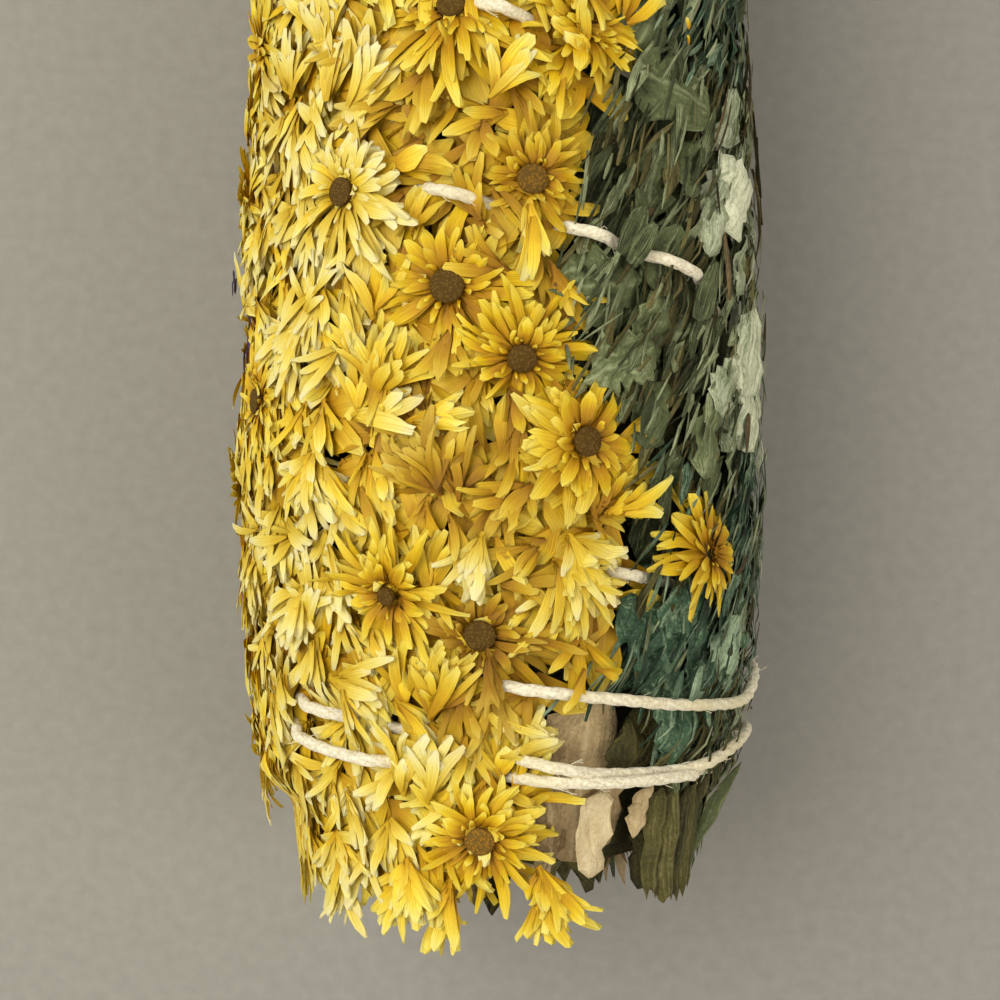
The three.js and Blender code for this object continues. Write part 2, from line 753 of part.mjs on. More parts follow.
// A leaf that stands out of an end of the stick, rooted well inside the mass
function endLeaf(middleAngle, fromAxis, end, outward) {
  const turn = middleAngle + between(-9, 9);
  const length = between(8.5, 10.5);
  const half = between(2.1, 2.8);
  const curl = between(-1.3, 1.3);
  const sideways = axisPoint(turn + 90, 1, 0).setZ(-Math.sin(THREE.MathUtils.degToRad(turn)));
  const toSpace = (spot) => {
    const centre = axisPoint(turn, fromAxis + spot.height, end + outward * (length * spot.along - 6));
    return centre.addScaledVector(sideways, spot.across);
  };
  const stations = [0.35, 0.7].map((along, index) => {
    const height = curl * along * along;
    const wave = [0.3, -0.35][index];
    return {
      left: { across: half, along, height: height + wave },
      right: { across: -half, along, height: height - wave },
    };
  });
  const base = { across: 0, along: 0, height: 0 };
  const tip = { across: 0, along: 1, height: curl };
  return bladeSolid(base, stations, tip, leafThickness + 0.1, toSpace);
}

function endLeaves(middleAngle, depths) {
  return depths.flatMap((fromAxis) => [
    endLeaf(middleAngle, fromAxis, buttEnd, -1),
    endLeaf(middleAngle, fromAxis, tipEnd, 1),
  ]);
}

// Keeps the side of a plane that its normal points to; the plane lies at a distance from the stick's middle.
function keepBeyond(solid, angle, fromAxis) {
  const turn = THREE.MathUtils.degToRad(angle);
  const normal = [Math.sin(turn), 0, Math.cos(turn)];
  return solid.trimByPlane(normal, normal[2] * axisHeight + fromAxis);
}

function outerStem(index) {
  const middleAngle = 180 + (360 * index) / outerStemCount;
  const half = 180 / outerStemCount;
  const whole = join([
    stemMass(middleAngle),
    woodyStem(middleAngle + 8, 9.2),
    ...endLeaves(middleAngle, [7, 10.6]),
  ]);
  const leftCut = keepBeyond(whole, middleAngle - half + 90, nodeGap / 2);
  const bothCut = keepBeyond(leftCut, middleAngle + half - 90, nodeGap / 2);
  return keepBeyond(bothCut, middleAngle, middleStemRadius + nodeGap / 2);
}

function middleStem() {
  let whole = join([middleMass(), woodyStem(0, 0), ...endLeaves(30, [2.2]), ...endLeaves(210, [2.2])]);
  for (let side = 0; side < outerStemCount; side += 1) {
    whole = keepBeyond(whole, (360 * side) / outerStemCount, -middleStemRadius + nodeGap / 2);
  }
  return whole;
}

// Nodes

const colours = {
  bloom: 0xe0bc2c,
  spray: 0xd6b02c,
  sage: 0x7c8262,
  paleLeaf: 0xb9ad95,
  greyLeaf: 0x66725c,
  mintLeaf: 0x9db3a0,
  tealLeaf: 0x2f6462,
  oliveLeaf: 0x4c5535,
  violet: 0x38224a,
  string: 0xe6dfc8,
};

function meshOf(name, solid, colour, roughness) {
  const { vertProperties, triVerts } = solid.getMesh();
  const geometry = new THREE.BufferGeometry();
  geometry.setAttribute('position', new THREE.BufferAttribute(new Float32Array(vertProperties), 3));
  geometry.setIndex(new THREE.BufferAttribute(new Uint32Array(triVerts), 1));
  geometry.computeVertexNormals();
  const material = new THREE.MeshStandardMaterial({ color: colour, roughness, metalness: 0 });
  const mesh = new THREE.Mesh(geometry, material);
  mesh.name = name;
  return mesh;
}

const stringRoom = stringSolid(stringRadius + stringClearance);

function finished(solid) {
  const rested = solid.trimByPlane([0, 0, 1], 0);
  const crossed = rested.intersect(stringRoom).volume() > 1e-6;
  return largestBody(crossed ? rested.subtract(stringRoom) : rested);
}

function nodeSolid(own) {
  if (own[0].kind === 'baseLeaf') return baseLeaf(own[0]);
  const solids = own.map(spraySolid);
  for (let index = 0; index + 1 < own.length; index += 1) {
    solids.push(stalkBetween(own[index], own[index + 1]));
  }
  return join(solids);
}

const stick = new THREE.Group();

stick.add(meshOf('sage_stem_middle', finished(middleStem()), colours.sage, 0.9));
for (let index = 0; index < outerStemCount; index += 1) {
  stick.add(meshOf(`sage_stem_${index + 1}`, finished(outerStem(index)), colours.sage, 0.9));
}
[...new Set(sites.map((site) => site.node))].forEach((name) => {
  const own = sites.filter((site) => site.node === name);
  const colour = colours[own[0].colour ?? (own.length > 1 ? 'spray' : 'bloom')];
  stick.add(meshOf(name, finished(nodeSolid(own)), colour, 0.8));
});
stick.add(meshOf('cotton_string', stringSolid(stringRadius), colours.string, 0.9));

export default stick;
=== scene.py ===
import math
import random

import bmesh
import bpy
from mathutils import Matrix, Vector, noise
from mathutils.kdtree import KDTree


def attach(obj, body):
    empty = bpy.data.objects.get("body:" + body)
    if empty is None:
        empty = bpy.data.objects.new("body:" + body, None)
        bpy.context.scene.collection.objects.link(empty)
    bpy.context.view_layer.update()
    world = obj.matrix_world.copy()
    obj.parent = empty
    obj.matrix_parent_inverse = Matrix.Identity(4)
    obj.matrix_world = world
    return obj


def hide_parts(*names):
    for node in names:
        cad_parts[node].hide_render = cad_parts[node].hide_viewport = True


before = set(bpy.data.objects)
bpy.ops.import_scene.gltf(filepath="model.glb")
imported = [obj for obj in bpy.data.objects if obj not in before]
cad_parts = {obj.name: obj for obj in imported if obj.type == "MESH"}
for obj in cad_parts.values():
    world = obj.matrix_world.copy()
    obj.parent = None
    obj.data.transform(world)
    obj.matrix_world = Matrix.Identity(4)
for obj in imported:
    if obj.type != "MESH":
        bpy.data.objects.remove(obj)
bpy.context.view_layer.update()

# Lengths are in mm and angles in degrees, and each finished mesh is scaled to metres.
# A place on the stick is an angle from its top, growing to the right, a distance along it and a height over the sage.
mm = 0.001
bundle = {
    "axisHeight": 17.0,
    "sageProfile": [(-50, 12.4), (-41.5, 13.3), (-36, 14.1), (-23, 14.95), (-5, 14.6), (12, 13.6), (30, 13.6),
                    (48, 12)],
    "unrollRadius": 17.0,
    "tableGap": 0.09,
    "backGap": 0.02,
    "leastHeight": 0.1,
    "petalTop": 4.95,
    "yellowBack": -146,
    "yellowFar": 29,
    "yellowFarFrom": 25,
    "buttEnd": -47.0,
    "tipEnd": 47.3,
}
# where the yellow blooms stop, as (along, angle)
yellowBorder = [(-60, 14), (-47, 12), (-44, 2), (-36.5, 0), (-33.5, 24), (-29, 26), (-25, 26), (-21, 28), (-18, 23),
                (-15, 12), (-11, 8), (-8, 10), (-5, 14), (1, 16), (3.5, 20), (6, 29), (10, 32), (20, 29)]


def chain(stations, at):
    # the value at a place between the stations of a list of pairs
    if at <= stations[0][0]:
        return stations[0][1]
    for (nearAt, nearValue), (farAt, farValue) in zip(stations, stations[1:]):
        if at <= farAt:
            return nearValue + (farValue - nearValue) * (at - nearAt) / (farAt - nearAt)
    return stations[-1][1]


def sageRadius(along):
    return chain(bundle["sageProfile"], along)


def place(angle, along, height):
    radius = sageRadius(along) + height
    turn = math.radians(angle)
    return Vector((radius * math.sin(turn), along, bundle["axisHeight"] + radius * math.cos(turn)))


def wrapAngle(angle):
    return (angle + 180) % 360 - 180


def across(angle):
    return math.radians(angle) * bundle["unrollRadius"]


def mix(a, b, part):
    return a + (b - a) * part


def clamp(value, low, high):
    return max(low, min(high, value))


# The string's route follows that of the solid it replaces
stringRoute = {
    "step": 0.35,
    "radius": 0.48,
    "over": 3.85,
    "groove": 1.9,
    "below": 0.95,
    "restGap": 0.32,
    # on the leaf side it is tucked under the leaves up to "tuckedTo", and under the blooms of the top it is buried
    "leafSide": 30,
    "tucked": 1.5,
    "tuckedTo": 12,
    "buried": 0.4,
    "buriedFrom": -90,
    "ease": 1.3,
    "pitch": 30.5,
    "atTop": -5.3,
    "secondPitch": 32.6,
    "secondAtTop": 7.0,
    "underEdge": 146,
    # windows of (angle from, angle to, along from, along to) in which the string lies on top
    "shown": [(-14, -5, -9, -3), (15.5, 24, -9.5, -4), (30, 47, -13, -5), (-5, 5, 3, 9), (24.5, 30, -30.5, -26),
              (-49, -33, -37.6, -35.8), (-53, -24, -42, -37.65), (0, 27, -37.2, -34), (27, 146, -38.5, -33.6),
              (6, 21, -60, -36.6), (21, 52, -60, -40.97), (47, 146, -40.97, -36.6), (96, 146, -60, 12),
              (28, 146, 12, 60)],
    # where one wrap lies half under the next
    "beneath": (21, 47, -40.97, -39.5),
    "beneathHeight": 3.05,
    # beside a shown stretch it dips only a little
    "beside": (9, 1.6),
    "besideHeight": 2.1,
}


def stringHeight(angle, along):
    turn = wrapAngle(angle)
    if abs(turn) > stringRoute["underEdge"]:
        return stringRoute["below"]
    if any(a <= turn <= b and c <= along <= d for a, b, c, d in stringRoute["shown"]):
        return stringRoute["over"]
    a, b, c, d = stringRoute["beneath"]
    if a <= turn <= b and c <= along <= d:
        return stringRoute["beneathHeight"]
    aside, ahead = stringRoute["beside"]
    if any(a - aside <= turn <= b + aside and c - ahead <= along <= d + ahead for a, b, c, d in stringRoute["shown"]):
        return stringRoute["besideHeight"]
    if turn > stringRoute["leafSide"] and along < stringRoute["tuckedTo"]:
        return stringRoute["tucked"]
    buried = stringRoute["buriedFrom"] < turn <= stringRoute["leafSide"]
    return stringRoute["buried" if buried else "groove"]


def helix(fromAngle, toAngle, alongAtTop, pitch):
    steps = round((toAngle - fromAngle) / 20)
    angles = [mix(fromAngle, toAngle, step / steps) for step in range(steps + 1)]
    return [(angle, alongAtTop - angle / 360 * pitch) for angle in angles]


firstStrand = [(-580, 42.6), (-545, 41.0)]
firstStrand += helix(-520, 300, stringRoute["atTop"], stringRoute["pitch"])
firstStrand += [(345, -33.8), (362, -34.9), (381, -35.7), (405, -36.6), (430, -36.8), (444, -35.4), (500, -35.2),
                (580, -36.3), (661, -37.7), (675, -39.0), (692, -39.8), (722, -40.75), (746, -41.15), (768, -41.25),
                (800, -42.0), (850, -43.0), (897, -43.4), (935, -42.2)]
secondStrand = [(-578, 44.0), (-490, 43.4), (-410, 41.9), (-360, 38.9)]
secondStrand += helix(-320, 345, stringRoute["secondAtTop"], stringRoute["secondPitch"])
secondStrand += [(386, -28.0), (440, -29.8), (540, -32.6), (640, -35.4), (670, -36.4), (690, -37.4), (712, -38.9),
                 (725, -39.6), (741, -40.55), (756, -40.85), (768, -40.8), (784, -40.0), (802, -39.4), (830, -40.5),
                 (860, -42.0), (903, -43.2), (938, -45.2)]
tipRing = [(angle - 215, 43.4 + 0.3 * math.sin(angle)) for angle in range(0, 361, 60)]


def smoothRoute(points):
    # a centripetal curve through the unrolled points, as places about one step apart
    step = stringRoute["step"]
    knots = [Vector((across(angle), along, 0)) for angle, along in points]
    knots = [2 * knots[0] - knots[1], *knots, 2 * knots[-1] - knots[-2]]
    spots = []
    for p0, p1, p2, p3 in zip(knots, knots[1:], knots[2:], knots[3:]):
        d0, d1, d2 = (math.sqrt((b - a).length) for a, b in ((p0, p1), (p1, p2), (p2, p3)))
        out = ((p1 - p0) / d0 - (p2 - p0) / (d0 + d1) + (p2 - p1) / d1) * d1
        into = ((p2 - p1) / d1 - (p3 - p1) / (d1 + d2) + (p3 - p2) / d2) * d1
        steps = max(2, round((p2 - p1).length / step))
        for index in range(steps):
            t = index / steps
            spots.append(p1 + out * t + (3 * (p2 - p1) - 2 * out - into) * t * t
                         + (2 * (p1 - p2) + out + into) * t ** 3)
    spots.append(knots[-2])
    heights = [stringHeight(math.degrees(spot.x / bundle["unrollRadius"]), spot.y) for spot in spots]
    near = round(stringRoute["ease"] / step)
    for index, spot in enumerate(spots):
        nearby = heights[max(0, index - near):index + near + 1]
        spot.z = sum(nearby) / len(nearby)
    return spots


def onRoute(spot):
    # the place in space of an unrolled string spot, kept clear of the table
    point = place(math.degrees(spot.x / bundle["unrollRadius"]), spot.y, spot.z)
    lowest = stringRoute["radius"] + stringRoute["restGap"]
    if point.z < lowest:
        point.x *= (bundle["axisHeight"] - lowest) / (bundle["axisHeight"] - point.z)
        point.z = lowest
    return point


stringSpots = [smoothRoute(points) for points in (firstStrand, secondStrand, tipRing)]
# petals and leaves give way beneath the string where it lies higher than "from"
grip = {"from": 3.3, "reach": 1.35, "sink": 0.62, "flare": 1.5}


def wrapAcross(spotAcross):
    return across(wrapAngle(math.degrees(spotAcross / bundle["unrollRadius"])))


def findStretches():
    # unrolled places of the string where it lies on top
    shown = [(wrapAcross(s.x), s.y, s.z) for spots in stringSpots for s in spots if s.z > grip["from"]]
    tree = KDTree(len(shown))
    for index, (spotAcross, along, height) in enumerate(shown):
        tree.insert((spotAcross, along, 0), index)
    tree.balance()
    return shown, tree


shownString, shownTree = findStretches()


def underString(angle, along, top):
    # the height that petals and leaves may reach beside the string
    found = shownTree.find((across(wrapAngle(angle)), along, 0))
    if found[0] is None or found[2] > grip["reach"]:
        return top
    stringAt = shownString[found[1]][2]
    return min(top, stringAt - grip["sink"] + grip["flare"] * (found[2] / grip["reach"]) ** 2)


# the cover thins out beside the top of the butt end
slimEnd = {"from": -41.5, "within": 2.5, "beside": 40, "turnWithin": 25, "top": 5.0, "less": 3.3}
softShare = 0.6


def settled(angle, along, height, top, over=False):
    # a place pressed softly below a top height and the string, and never through the table
    if not over:
        slim = clamp((slimEnd["from"] - along) / slimEnd["within"], 0, 1)
        slim *= clamp((abs(wrapAngle(angle)) - slimEnd["beside"]) / slimEnd["turnWithin"], 0, 1)
        top = underString(angle, along, min(top, slimEnd["top"] - slimEnd["less"] * slim))
    soft = softShare * top
    if height > soft:
        height = soft + (top - soft) * (1 - math.exp(-(height - soft) / (top - soft)))
    spot = place(angle, along, max(height, bundle["leastHeight"]))
    spot.z = max(spot.z, bundle["tableGap"])
    return spot


# Making pieces

def newPiece():
    bm = bmesh.new()
    bm.loops.layers.uv.new("UVMap")
    bm.verts.layers.float.new("tint")
    bm.verts.layers.float.new("age")
    return bm


def addBlade(bm, columns, rows, shape, toPlace, tint, age=0.0):
    # a grid from base to tip; shape gives a point for across -1..1 and part 0..1
    made = bmesh.ops.create_grid(bm, x_segments=columns, y_segments=rows, size=0.5, calc_uvs=True)
    tintLayer = bm.verts.layers.float["tint"]
    ageLayer = bm.verts.layers.float["age"]
    for vert in made["verts"]:
        vert.co = toPlace(shape(2 * vert.co.x, vert.co.y + 0.5))
        vert[tintLayer] = tint
        vert[ageLayer] = age


def addBack(bm, thickness):
    # a second sheet behind the first one, joined to it round the rim
    bm.normal_update()
    copied = bmesh.ops.duplicate(bm, geom=bm.verts[:] + bm.edges[:] + bm.faces[:])["geom"]
    behind = [part for part in copied if isinstance(part, bmesh.types.BMVert)]
    bmesh.ops.reverse_faces(bm, faces=[part for part in copied if isinstance(part, bmesh.types.BMFace)])
    for vert in behind:
        if not vert.is_boundary:
            vert.co += vert.normal * -thickness
            vert.co.z = max(vert.co.z, bundle["backGap"])
    bmesh.ops.remove_doubles(bm, verts=bm.verts, dist=0.00001)


def finishPiece(bm, name, material, nodes=(), thickness=0.0, sharpAngle=50):
    # the piece in metres, with its back, in its place in the mesh
    if thickness:
        addBack(bm, thickness)
    bmesh.ops.transform(bm, matrix=Matrix.Scale(mm, 4), verts=bm.verts)
    mesh = bpy.data.meshes.new(name)
    bm.to_mesh(mesh)
    bm.free()
    piece = bpy.data.objects.new(name, mesh)
    bpy.context.scene.collection.objects.link(piece)
    mesh.shade_smooth()
    mesh.set_sharp_from_angle(angle=math.radians(sharpAngle))
    mesh.materials.append(material)
    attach(piece, "root")
    if nodes:
        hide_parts(*nodes)


# Materials

def linear(red, green, blue):
    # screen colours as the linear values that shaders take
    def one(value):
        return value / 12.92 if value <= 0.04045 else ((value + 0.055) / 1.055) ** 2.4
    return (one(red), one(green), one(blue), 1.0)


def addNode(tree, kind, inputs=None, **settings):
    node = tree.nodes.new("ShaderNode" + kind)
    for key, value in settings.items():
        setattr(node, key, value)
    for key, value in (inputs or {}).items():
        if isinstance(value, bpy.types.NodeSocket):
            tree.links.new(value, node.inputs[key])
        else:
            node.inputs[key].default_value = value
    return node


def addRamp(tree, factor, stops):
    ramp = addNode(tree, "ValToRGB", {"Fac": factor})
    elements = ramp.color_ramp.elements
    while len(elements) < len(stops):
        elements.new(0.5)
    for element, (at, colour) in zip(elements, stops):
        element.position = at
        element.color = colour if len(colour) == 4 else linear(*colour)
    return ramp.outputs["Color"]


def addMix(tree, factor, first, second, blend="MIX"):
    node = addNode(tree, "Mix", {"Factor": factor}, data_type="RGBA", blend_type=blend)
    for socket, value in ((node.inputs[6], first), (node.inputs[7], second)):
        if isinstance(value, bpy.types.NodeSocket):
            tree.links.new(value, socket)
        else:
            socket.default_value = value
    return node.outputs[2]


def addMath(tree, operation, first, second, third=0.0, clampIt=False):
    node = addNode(tree, "Math", {0: first, 1: second, 2: third}, operation=operation, use_clamp=clampIt)
    return node.outputs[0]


def addRange(tree, value, fromMin, fromMax, toMin=0.0, toMax=1.0):
    return addNode(tree, "MapRange", {"Value": value, "From Min": fromMin, "From Max": fromMax,
                                      "To Min": toMin, "To Max": toMax}).outputs["Result"]


def addNoise(tree, vector, scale, detail, roughness=0.5, seed=None):
    inputs = {"Vector": vector, "Scale": scale, "Detail": detail, "Roughness": roughness}
    if seed is None:
        return addNode(tree, "TexNoise", inputs)
    return addNode(tree, "TexNoise", {**inputs, "W": seed}, noise_dimensions="4D")


def newMaterial(name):
    material = bpy.data.materials.new(name)
    material.use_nodes = True
    tree = material.node_tree
    tree.nodes.clear()
    surface = addNode(tree, "OutputMaterial")
    shader = addNode(tree, "BsdfPrincipled")
    tree.links.new(shader.outputs["BSDF"], surface.inputs["Surface"])
    return material, tree, shader


def paint(tree, shader, colour, look, height=None):
    # colour, gloss and bump of a shader, from the values of its look
    tree.links.new(colour, shader.inputs["Base Color"])
    shader.inputs["Roughness"].default_value = look["roughness"]
    shader.inputs["Specular IOR Level"].default_value = look["specular"]
    if height is not None:
        bump = addNode(tree, "Bump", {"Height": height, "Strength": look["bump"], "Distance": look["bumpDepth"]})
        tree.links.new(bump.outputs["Normal"], shader.inputs["Normal"])
        return bump


def objectPlace(tree):
    return addNode(tree, "TexCoord").outputs["Object"]


def tagOf(tree, name):
    return addNode(tree, "Attribute", attribute_name=name).outputs["Fac"]


def bladePlace(tree, stretch):
    # the place across and along a petal or leaf, and its UV stretched for veins or fibres
    uv = addNode(tree, "UVMap", uv_map="UVMap").outputs["UV"]
    split = addNode(tree, "SeparateXYZ", {"Vector": uv})
    stretched = addNode(tree, "Mapping", {"Vector": uv, "Scale": (*stretch, 1)}).outputs["Vector"]
    return split.outputs["X"], split.outputs["Y"], stretched


# each ramp runs from a petal's base to its tip: the deep golden base is partly painted shade where petals cover each
# other, the near-white tip partly a painted highlight, and both partly the petals' own colour
petalLook = {
    "golden": [(0.05, (0.66, 0.45, 0.0)), (0.35, (0.80, 0.60, 0.0)), (0.7, (0.92, 0.78, 0.05)),
               (1.0, (1.0, 0.92, 0.34))],
    "pale": [(0.05, (0.86, 0.66, 0.02)), (0.35, (0.99, 0.84, 0.14)), (0.7, (1.0, 0.92, 0.34)),
             (1.0, (1.0, 0.97, 0.57))],
    "cream": [(0.05, (0.86, 0.71, 0.12)), (0.35, (0.96, 0.86, 0.32)), (0.7, (1.0, 0.95, 0.56)),
              (1.0, (1.0, 0.98, 0.77))],
    "agedAndShade": [(0.0, (0.46, 0.30, 0.0)), (0.5, (0.63, 0.46, 0.03)), (1.0, (0.82, 0.68, 0.24))],
    "creamFrom": 0.74,
    "veins": (21, 1.0),
    "veinDark": 0.42,
    "veinColour": (0.60, 0.43, 0.01),
    "roughness": 0.48,
    "specular": 0.35,
    "bump": 0.7,
    "bumpDepth": 0.0001,
}


def petalMaterial():
    material, tree, shader = newMaterial("petal")
    part, stretched = bladePlace(tree, petalLook["veins"])[1:]
    tint = tagOf(tree, "tint")
    veins = addNoise(tree, stretched, 1.0, 3.0, seed=addMath(tree, "MULTIPLY", tint, 61.0)).outputs["Fac"]
    blotch = addNoise(tree, objectPlace(tree), 420.0, 2.0).outputs["Fac"]
    # towards the base the colour deepens and towards the tip it pales to near-white, partly the petals' own colour
    # and partly painted shade and painted highlight
    along = addMath(tree, "ADD", part, addMath(tree, "MULTIPLY_ADD", blotch, 0.5, -0.25), clampIt=True)
    tones = ("golden", "pale", "cream", "agedAndShade")
    golden, pale, cream, agedAndShade = (addRamp(tree, along, petalLook[tone]) for tone in tones)
    fresh = addMix(tree, addMath(tree, "MULTIPLY", tint, 1.6, clampIt=True), golden, pale)
    fresh = addMix(tree, addRange(tree, tint, petalLook["creamFrom"], 1.0), fresh, cream)
    colour = addMix(tree, tagOf(tree, "age"), fresh, agedAndShade)
    dark = addRange(tree, veins, 0.42, 0.68, 0.0, petalLook["veinDark"])
    paint(tree, shader, addMix(tree, dark, colour, linear(*petalLook["veinColour"])), petalLook, veins)
    return material


discLook = {"dark": (0.33, 0.24, 0.08), "light": (0.44, 0.34, 0.14), "golden": (0.66, 0.46, 0.08), "grain": 5200.0,
            "roughness": 0.85, "specular": 0.2, "bump": 0.8, "bumpDepth": 0.0001}


def discMaterial():
    material, tree, shader = newMaterial("disc")
    grain = addNode(tree, "TexVoronoi", {"Vector": objectPlace(tree), "Scale": discLook["grain"]}).outputs["Distance"]
    brown = addRamp(tree, grain, [(0.1, discLook["light"]), (0.55, discLook["dark"])])
    gold = addRamp(tree, grain, [(0.1, discLook["golden"]), (0.6, discLook["light"])])
    paint(tree, shader, addMix(tree, tagOf(tree, "tint"), brown, gold), discLook, grain).invert = True
    return material


# in each look, the crease weight sets both the bump of the creases and their painted shade
leafLooks = {
    "grey": {"dark": (0.15, 0.18, 0.09), "mid": (0.41, 0.45, 0.30), "light": (0.77, 0.81, 0.64),
             "roughness": 0.7, "creaseBumpAndShade": 0.2, "fibre": 1.6},
    "mint": {"dark": (0.25, 0.31, 0.22), "mid": (0.54, 0.59, 0.46), "light": (0.92, 0.94, 0.83),
             "roughness": 0.4, "creaseBumpAndShade": 0.25, "fibre": 2.6},
    "teal": {"dark": (0.06, 0.14, 0.10), "mid": (0.27, 0.40, 0.30), "light": (0.71, 0.80, 0.67),
             "roughness": 0.45, "creaseBumpAndShade": 0.35, "fibre": 2.2},
    "olive": {"dark": (0.13, 0.13, 0.04), "mid": (0.34, 0.32, 0.15), "light": (0.58, 0.55, 0.36),
              "roughness": 0.66, "creaseBumpAndShade": 0.3, "fibre": 2.2},
    "pale": {"dark": (0.48, 0.40, 0.28), "mid": (0.78, 0.69, 0.53), "light": (0.95, 0.89, 0.74),
             "roughness": 0.85, "creaseBumpAndShade": 0.25, "fibre": 1.0},
    "straw": {"dark": (0.18, 0.14, 0.09), "mid": (0.38, 0.31, 0.20), "light": (0.80, 0.70, 0.48),
              "roughness": 0.6, "creaseBumpAndShade": 0.0, "fibre": 1.0},
    "violet": {"dark": (0.10, 0.05, 0.12), "mid": (0.22, 0.12, 0.26), "light": (0.40, 0.28, 0.40),
               "roughness": 0.6, "creaseBumpAndShade": 0.3, "fibre": 1.0},
}
# broad leaves are felted, and shreds are striped along their length
leafGrain = {
    "broad": {"fibres": (11, 1.7), "fibre": 0.6, "pebble": 0.35, "rib": 0.3, "bumpDepth": 0.00016},
    "shred": {"fibres": (24, 1.3), "fibre": 3.0, "pebble": 0.3, "rib": 0.0, "bumpDepth": 0.0002},
}
leafTexture = {"pebble": 3400.0, "patch": 330.0, "patchShare": 0.7, "cells": 1900.0,
               "warp": (0.0005, 0.0005, 0.0005), "specular": 0.35, "bump": 0.8}


def leafMaterial(name, kind):
    look, grain = leafLooks[name], leafGrain[kind]
    material, tree, shader = newMaterial(name + kind.capitalize())
    side, part, stretched = bladePlace(tree, grain["fibres"])
    tint, coordinates = tagOf(tree, "tint"), objectPlace(tree)
    fibres = addNoise(tree, stretched, 1.3, 4.0, 0.6, addMath(tree, "MULTIPLY", tint, 47.0)).outputs["Fac"]
    pebble = addNoise(tree, coordinates, leafTexture["pebble"], 3.0)
    patch = addNoise(tree, coordinates, leafTexture["patch"], 3.0).outputs["Fac"]
    warp = addNode(tree, "VectorMath", {0: pebble.outputs["Color"], 1: leafTexture["warp"]}, operation="MULTIPLY")
    warped = addNode(tree, "VectorMath", {0: coordinates, 1: warp.outputs[0]}).outputs[0]
    cells = addNode(tree, "TexVoronoi", {"Vector": warped, "Scale": leafTexture["cells"]}, feature="DISTANCE_TO_EDGE")
    # the crease lines are painted darker as shade in the creases, and the cells between them lighter as painted light
    # on the ridges; the same mask sets the bump
    creaseBumpAndShade = addRange(tree, cells.outputs["Distance"], 0.0, 0.2)
    pebbled = pebble.outputs["Fac"]
    fibreShare = grain["fibre"] * (look["fibre"] if kind == "broad" else 1.0)
    level = tint
    for value, share in ((fibres, fibreShare), (pebbled, grain["pebble"]), (patch, leafTexture["patchShare"]),
                         (creaseBumpAndShade, 0.25 * look["creaseBumpAndShade"])):
        level = addMath(tree, "MULTIPLY_ADD", value, share, addMath(tree, "ADD", level, -0.5 * share))
    level = addMath(tree, "ADD", level, 0.0, clampIt=True)
    colour = addRamp(tree, level, [(0.0, look["dark"]), (0.5, look["mid"]), (1.0, look["light"])])
    fromRib = addMath(tree, "ABSOLUTE", addMath(tree, "ADD", side, -0.5), 0.0)
    colour = addMix(tree, addRange(tree, fromRib, 0.0, 0.05, grain["rib"], 0.0), colour, linear(*look["light"]))
    height = addMath(tree, "MULTIPLY_ADD", creaseBumpAndShade, look["creaseBumpAndShade"], addMath(tree, "ADD", fibres, pebbled))
    paint(tree, shader, colour, {**leafTexture, **grain, **look}, height)
    return material


cottonLook = {"shade": (0.84, 0.80, 0.68), "white": (0.99, 0.97, 0.90), "stain": (0.88, 0.82, 0.60), "fibres": 4200.0,
              "stains": 130.0, "sheen": 0.3, "roughness": 0.9, "specular": 0.2, "bump": 0.8, "bumpDepth": 0.00012}


def cottonMaterial():
    material, tree, shader = newMaterial("cotton")
    coordinates = objectPlace(tree)
    fibres = addNoise(tree, coordinates, cottonLook["fibres"], 4.0).outputs["Fac"]
    stains = addNoise(tree, coordinates, cottonLook["stains"], 2.0).outputs["Fac"]
    # the fibres run from the darker, warmer shade tone, painted shade between the fibres, to white
    white = addRamp(tree, fibres, [(0.3, cottonLook["shade"]), (0.65, cottonLook["white"])])
    colour = addMix(tree, addRange(tree, stains, 0.45, 0.7, 0.0, 0.5), white, linear(*cottonLook["stain"]))
    paint(tree, shader, colour, cottonLook, fibres)
    shader.inputs["Sheen Weight"].default_value = cottonLook["sheen"]
    return material


petalFinish = petalMaterial()
discFinish = discMaterial()
cottonFinish = cottonMaterial()
leafFinish = {name: leafMaterial(name, "broad") for name in leafLooks}
shredFinish = {name: leafMaterial(name, "shred") for name in leafLooks}
print("materials made")

# Camera, light and floor
camera = {"x": 0.0, "y": -23.4, "height": 144.0, "lens": 63.94}


def makeCamera():
    data = bpy.data.cameras.new("camera")
    data.sensor_width = 36
    data.lens = camera["lens"]
    data.clip_start = 0.001
    data.clip_end = 10
    eye = bpy.data.objects.new("camera", data)
    eye.location = (camera["x"] * mm, camera["y"] * mm, camera["height"] * mm)
    bpy.context.scene.collection.objects.link(eye)
    bpy.context.scene.camera = eye


light = {
    "key": {"at": (-260, 80, 370), "size": 420, "watts": 1.58, "colour": (1.0, 0.96, 0.84)},
    "fill": {"at": (300, -160, 300), "size": 300, "watts": 0.5, "colour": (1.0, 0.93, 0.8)},
    "sky": {"strength": 0.57, "colour": (1.0, 0.93, 0.78)},
}
floorLook = {"half": 1.5, "speckle": 900.0, "tones": [(0.3, (0.565, 0.560, 0.548)), (0.7, (0.595, 0.590, 0.578))],
             "roughness": 0.7, "specular": 0.5}


def makeLight(name, spec):
    data = bpy.data.lights.new(name, "AREA")
    data.shape = "DISK"
    data.size = spec["size"] * mm
    data.energy = spec["watts"]
    data.color = spec["colour"]
    lamp = bpy.data.objects.new(name, data)
    lamp.location = [value * mm for value in spec["at"]]
    aim = Vector((0, camera["y"] * mm, 0)) - lamp.location
    lamp.rotation_euler = aim.to_track_quat("-Z", "Y").to_euler()
    bpy.context.scene.collection.objects.link(lamp)


